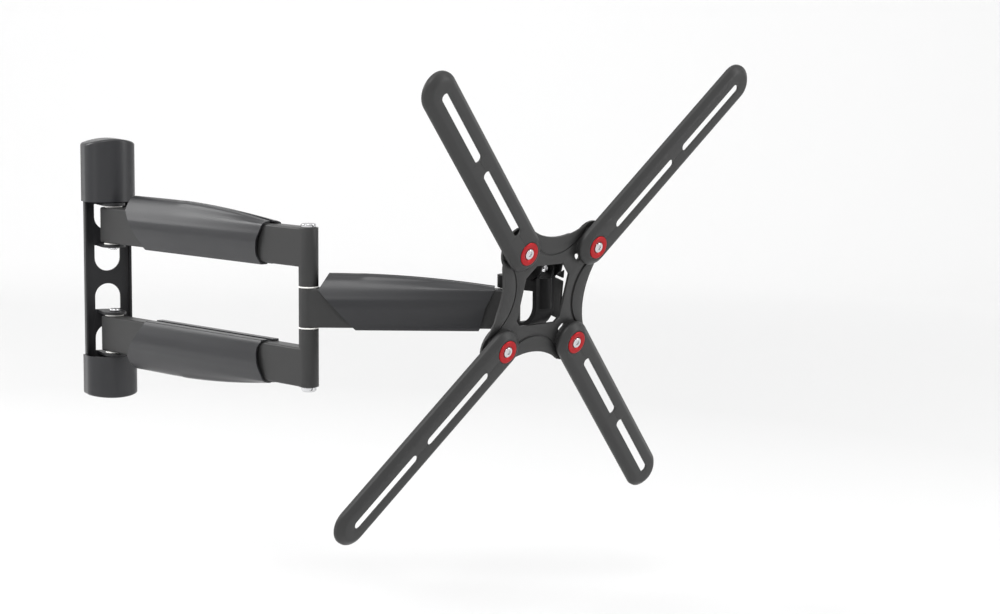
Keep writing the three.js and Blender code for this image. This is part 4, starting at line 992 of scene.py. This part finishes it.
def stage_floor():
    """A pale floor that curves up behind the object: a profile carried straight across. It lies below the
    reach of a television arm that hangs straight down."""
    floor = CAD_BOX[0].z - FLOOR_BELOW
    reach, bend = 2.6, 1.2
    turn = np.linspace(0, np.pi / 2, 24)
    depth = np.concatenate([[-8.0, 0.0], reach + bend * np.sin(turn), [reach + bend]])
    height = np.concatenate([[0.0, 0.0], bend * (1 - np.cos(turn)), [6.0]])
    across = np.linspace(-9.0, 9.0, 3)
    forward = np.array([math.sin(CAMERA_HEADING), math.cos(CAMERA_HEADING), 0.0])
    right = np.array([forward[1], -forward[0], 0.0])
    points = (across[:, None, None] * right + depth[None, :, None] * forward
              + (floor + height)[None, :, None] * np.array([0.0, 0.0, 1.0]))
    vertices, quads, _ = patch(points)
    mesh = bpy.data.meshes.new("studio_floor")
    mesh.from_pydata(vertices.tolist(), [], quads.tolist())
    mesh.polygons.foreach_set("use_smooth", [True] * len(mesh.polygons))
    material, tree, shader, coordinates = new_material("pale_floor", (0.93, 0.93, 0.93), Roughness=0.9)
    paper = placed_group(tree, "Fine Grain", Scale=60.0, Roughen=0.7)
    link(tree, coordinates.outputs["Object"], paper.inputs["Vector"])
    reach_out = tree.nodes.new("ShaderNodeVectorMath")
    reach_out.operation = "LENGTH"
    link(tree, coordinates.outputs["Object"], reach_out.inputs[0])
    # Painted shade: the floor is darker within 1.4 m of the object, where the lamps light it most, and pales
    # out to 3 m. This way the lit floor reads evenly white and sends less light up onto the undersides.
    painted_floor_shade = add_node(tree, "ShaderNodeMapRange",
                    {"From Min": 1.4, "From Max": 3.0, "To Min": 0.74, "To Max": 0.95})
    link(tree, reach_out.outputs["Value"], painted_floor_shade.inputs["Value"])
    link(tree, painted_floor_shade.outputs["Result"], shader.inputs["Base Color"])
    bump = add_node(tree, "ShaderNodeBump", {"Strength": 0.2, "Distance": 0.0003})
    link(tree, paper.outputs["Height"], bump.inputs["Height"])
    link(tree, bump.outputs["Normal"], shader.inputs["Normal"])
    mesh.materials.append(material)
    piece = bpy.data.objects.new("studio_floor", mesh)
    bpy.context.scene.collection.objects.link(piece)


def area_light(name, place, target, width, height, power):
    """A soft rectangular light that faces a point."""
    data = bpy.data.lights.new(name, "AREA")
    data.shape = "RECTANGLE"
    data.size, data.size_y = width, height
    data.energy = power
    lamp = bpy.data.objects.new(name, data)
    lamp.location = place
    lamp.rotation_mode = "QUATERNION"
    lamp.rotation_quaternion = (Vector(target) - Vector(place)).to_track_quat("-Z", "Y")
    bpy.context.scene.collection.objects.link(lamp)


class MOUNT_OT_stage(bpy.types.Operator):
    """Sets the camera, the soft studio lights and the pale floor"""

    bl_idname = "mount.stage"
    bl_label = "Stage"

    def execute(self, context):
        scene = context.scene
        data = bpy.data.cameras.new("camera")
        data.lens, data.sensor_width = 86.64, 36.0
        data.shift_x, data.shift_y = 0.113, 0.0
        data.clip_start, data.clip_end = 0.05, 60.0
        camera = bpy.data.objects.new("camera", data)
        camera.location = CAMERA_PLACE
        camera.rotation_euler = (math.pi / 2 - CAMERA_PITCH, 0.0, -CAMERA_HEADING)
        scene.collection.objects.link(camera)
        scene.camera = camera
        world = bpy.data.worlds.new("studio")
        world.use_nodes = True
        world.node_tree.nodes["Background"].inputs["Color"].default_value = (1.0, 1.0, 1.0, 1.0)
        world.node_tree.nodes["Background"].inputs["Strength"].default_value = 0.75
        scene.world = world
        scene.view_settings.view_transform = "Standard"
        middle = (0.2, -0.3, 0.0)
        area_light("key_light", (-0.9, -2.2, 2.0), middle, 1.4, 0.8, 30.0)
        area_light("top_light", (0.1, -0.6, 2.3), middle, 2.8, 1.5, 16.0)
        area_light("rear_light", (-1.9, 0.95, 1.4), (0.05, -0.2, 0.05), 1.2, 1.6, 42.0)
        area_light("left_light", (-2.3, -1.3, 0.9), middle, 0.5, 2.0, 7.0)
        area_light("right_light", (2.4, -1.8, 0.9), middle, 0.4, 2.0, 20.0)
        stage_floor()
        return {"FINISHED"}


# ---- panel and registration ---------------------------------------------------------------------

OPERATORS = (
    MOUNT_OT_stage,
    MOUNT_OT_machined,
    MOUNT_OT_covers,
    MOUNT_OT_caps,
    MOUNT_OT_television_arms,
    MOUNT_OT_hub_hardware,
    MOUNT_OT_pivots,
)


class MOUNT_PT_panel(bpy.types.Panel):
    """Lists the mount's sizes, colours and pieces in the sidebar"""

    bl_idname = "MOUNT_PT_panel"
    bl_label = "Television Wall Mount"
    bl_space_type = "VIEW_3D"
    bl_region_type = "UI"
    bl_category = "Wall Mount"

    def draw(self, context):
        layout = self.layout
        for holder in (context.scene.mount_covers, context.scene.mount_arms, context.scene.mount_colours):
            column = layout.column(align=True)
            for key in holder.__annotations__:
                column.prop(holder, key)
        for operator in OPERATORS:
            layout.operator(operator.bl_idname)


CLASSES = (CoverSizes, ArmSizes, FinishColours, *OPERATORS, MOUNT_PT_panel)
HOLDERS = {"mount_covers": CoverSizes, "mount_arms": ArmSizes, "mount_colours": FinishColours}


def register():
    """Registers the classes and gives the scene its sizes and colours."""
    for item in CLASSES:
        bpy.utils.register_class(item)
    for key, holder in HOLDERS.items():
        setattr(bpy.types.Scene, key, PointerProperty(type=holder))


def unregister():
    """Removes what register() added."""
    for key in HOLDERS:
        delattr(bpy.types.Scene, key)
    for item in reversed(CLASSES):
        bpy.utils.unregister_class(item)


def main():
    """Registers the add-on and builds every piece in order."""
    register()
    bpy.ops.mount.stage()
    bpy.ops.mount.machined()
    bpy.ops.mount.covers()
    bpy.ops.mount.caps()
    bpy.ops.mount.television_arms()
    bpy.ops.mount.hub_hardware()
    bpy.ops.mount.pivots()


if __name__ == "__main__":
    main()
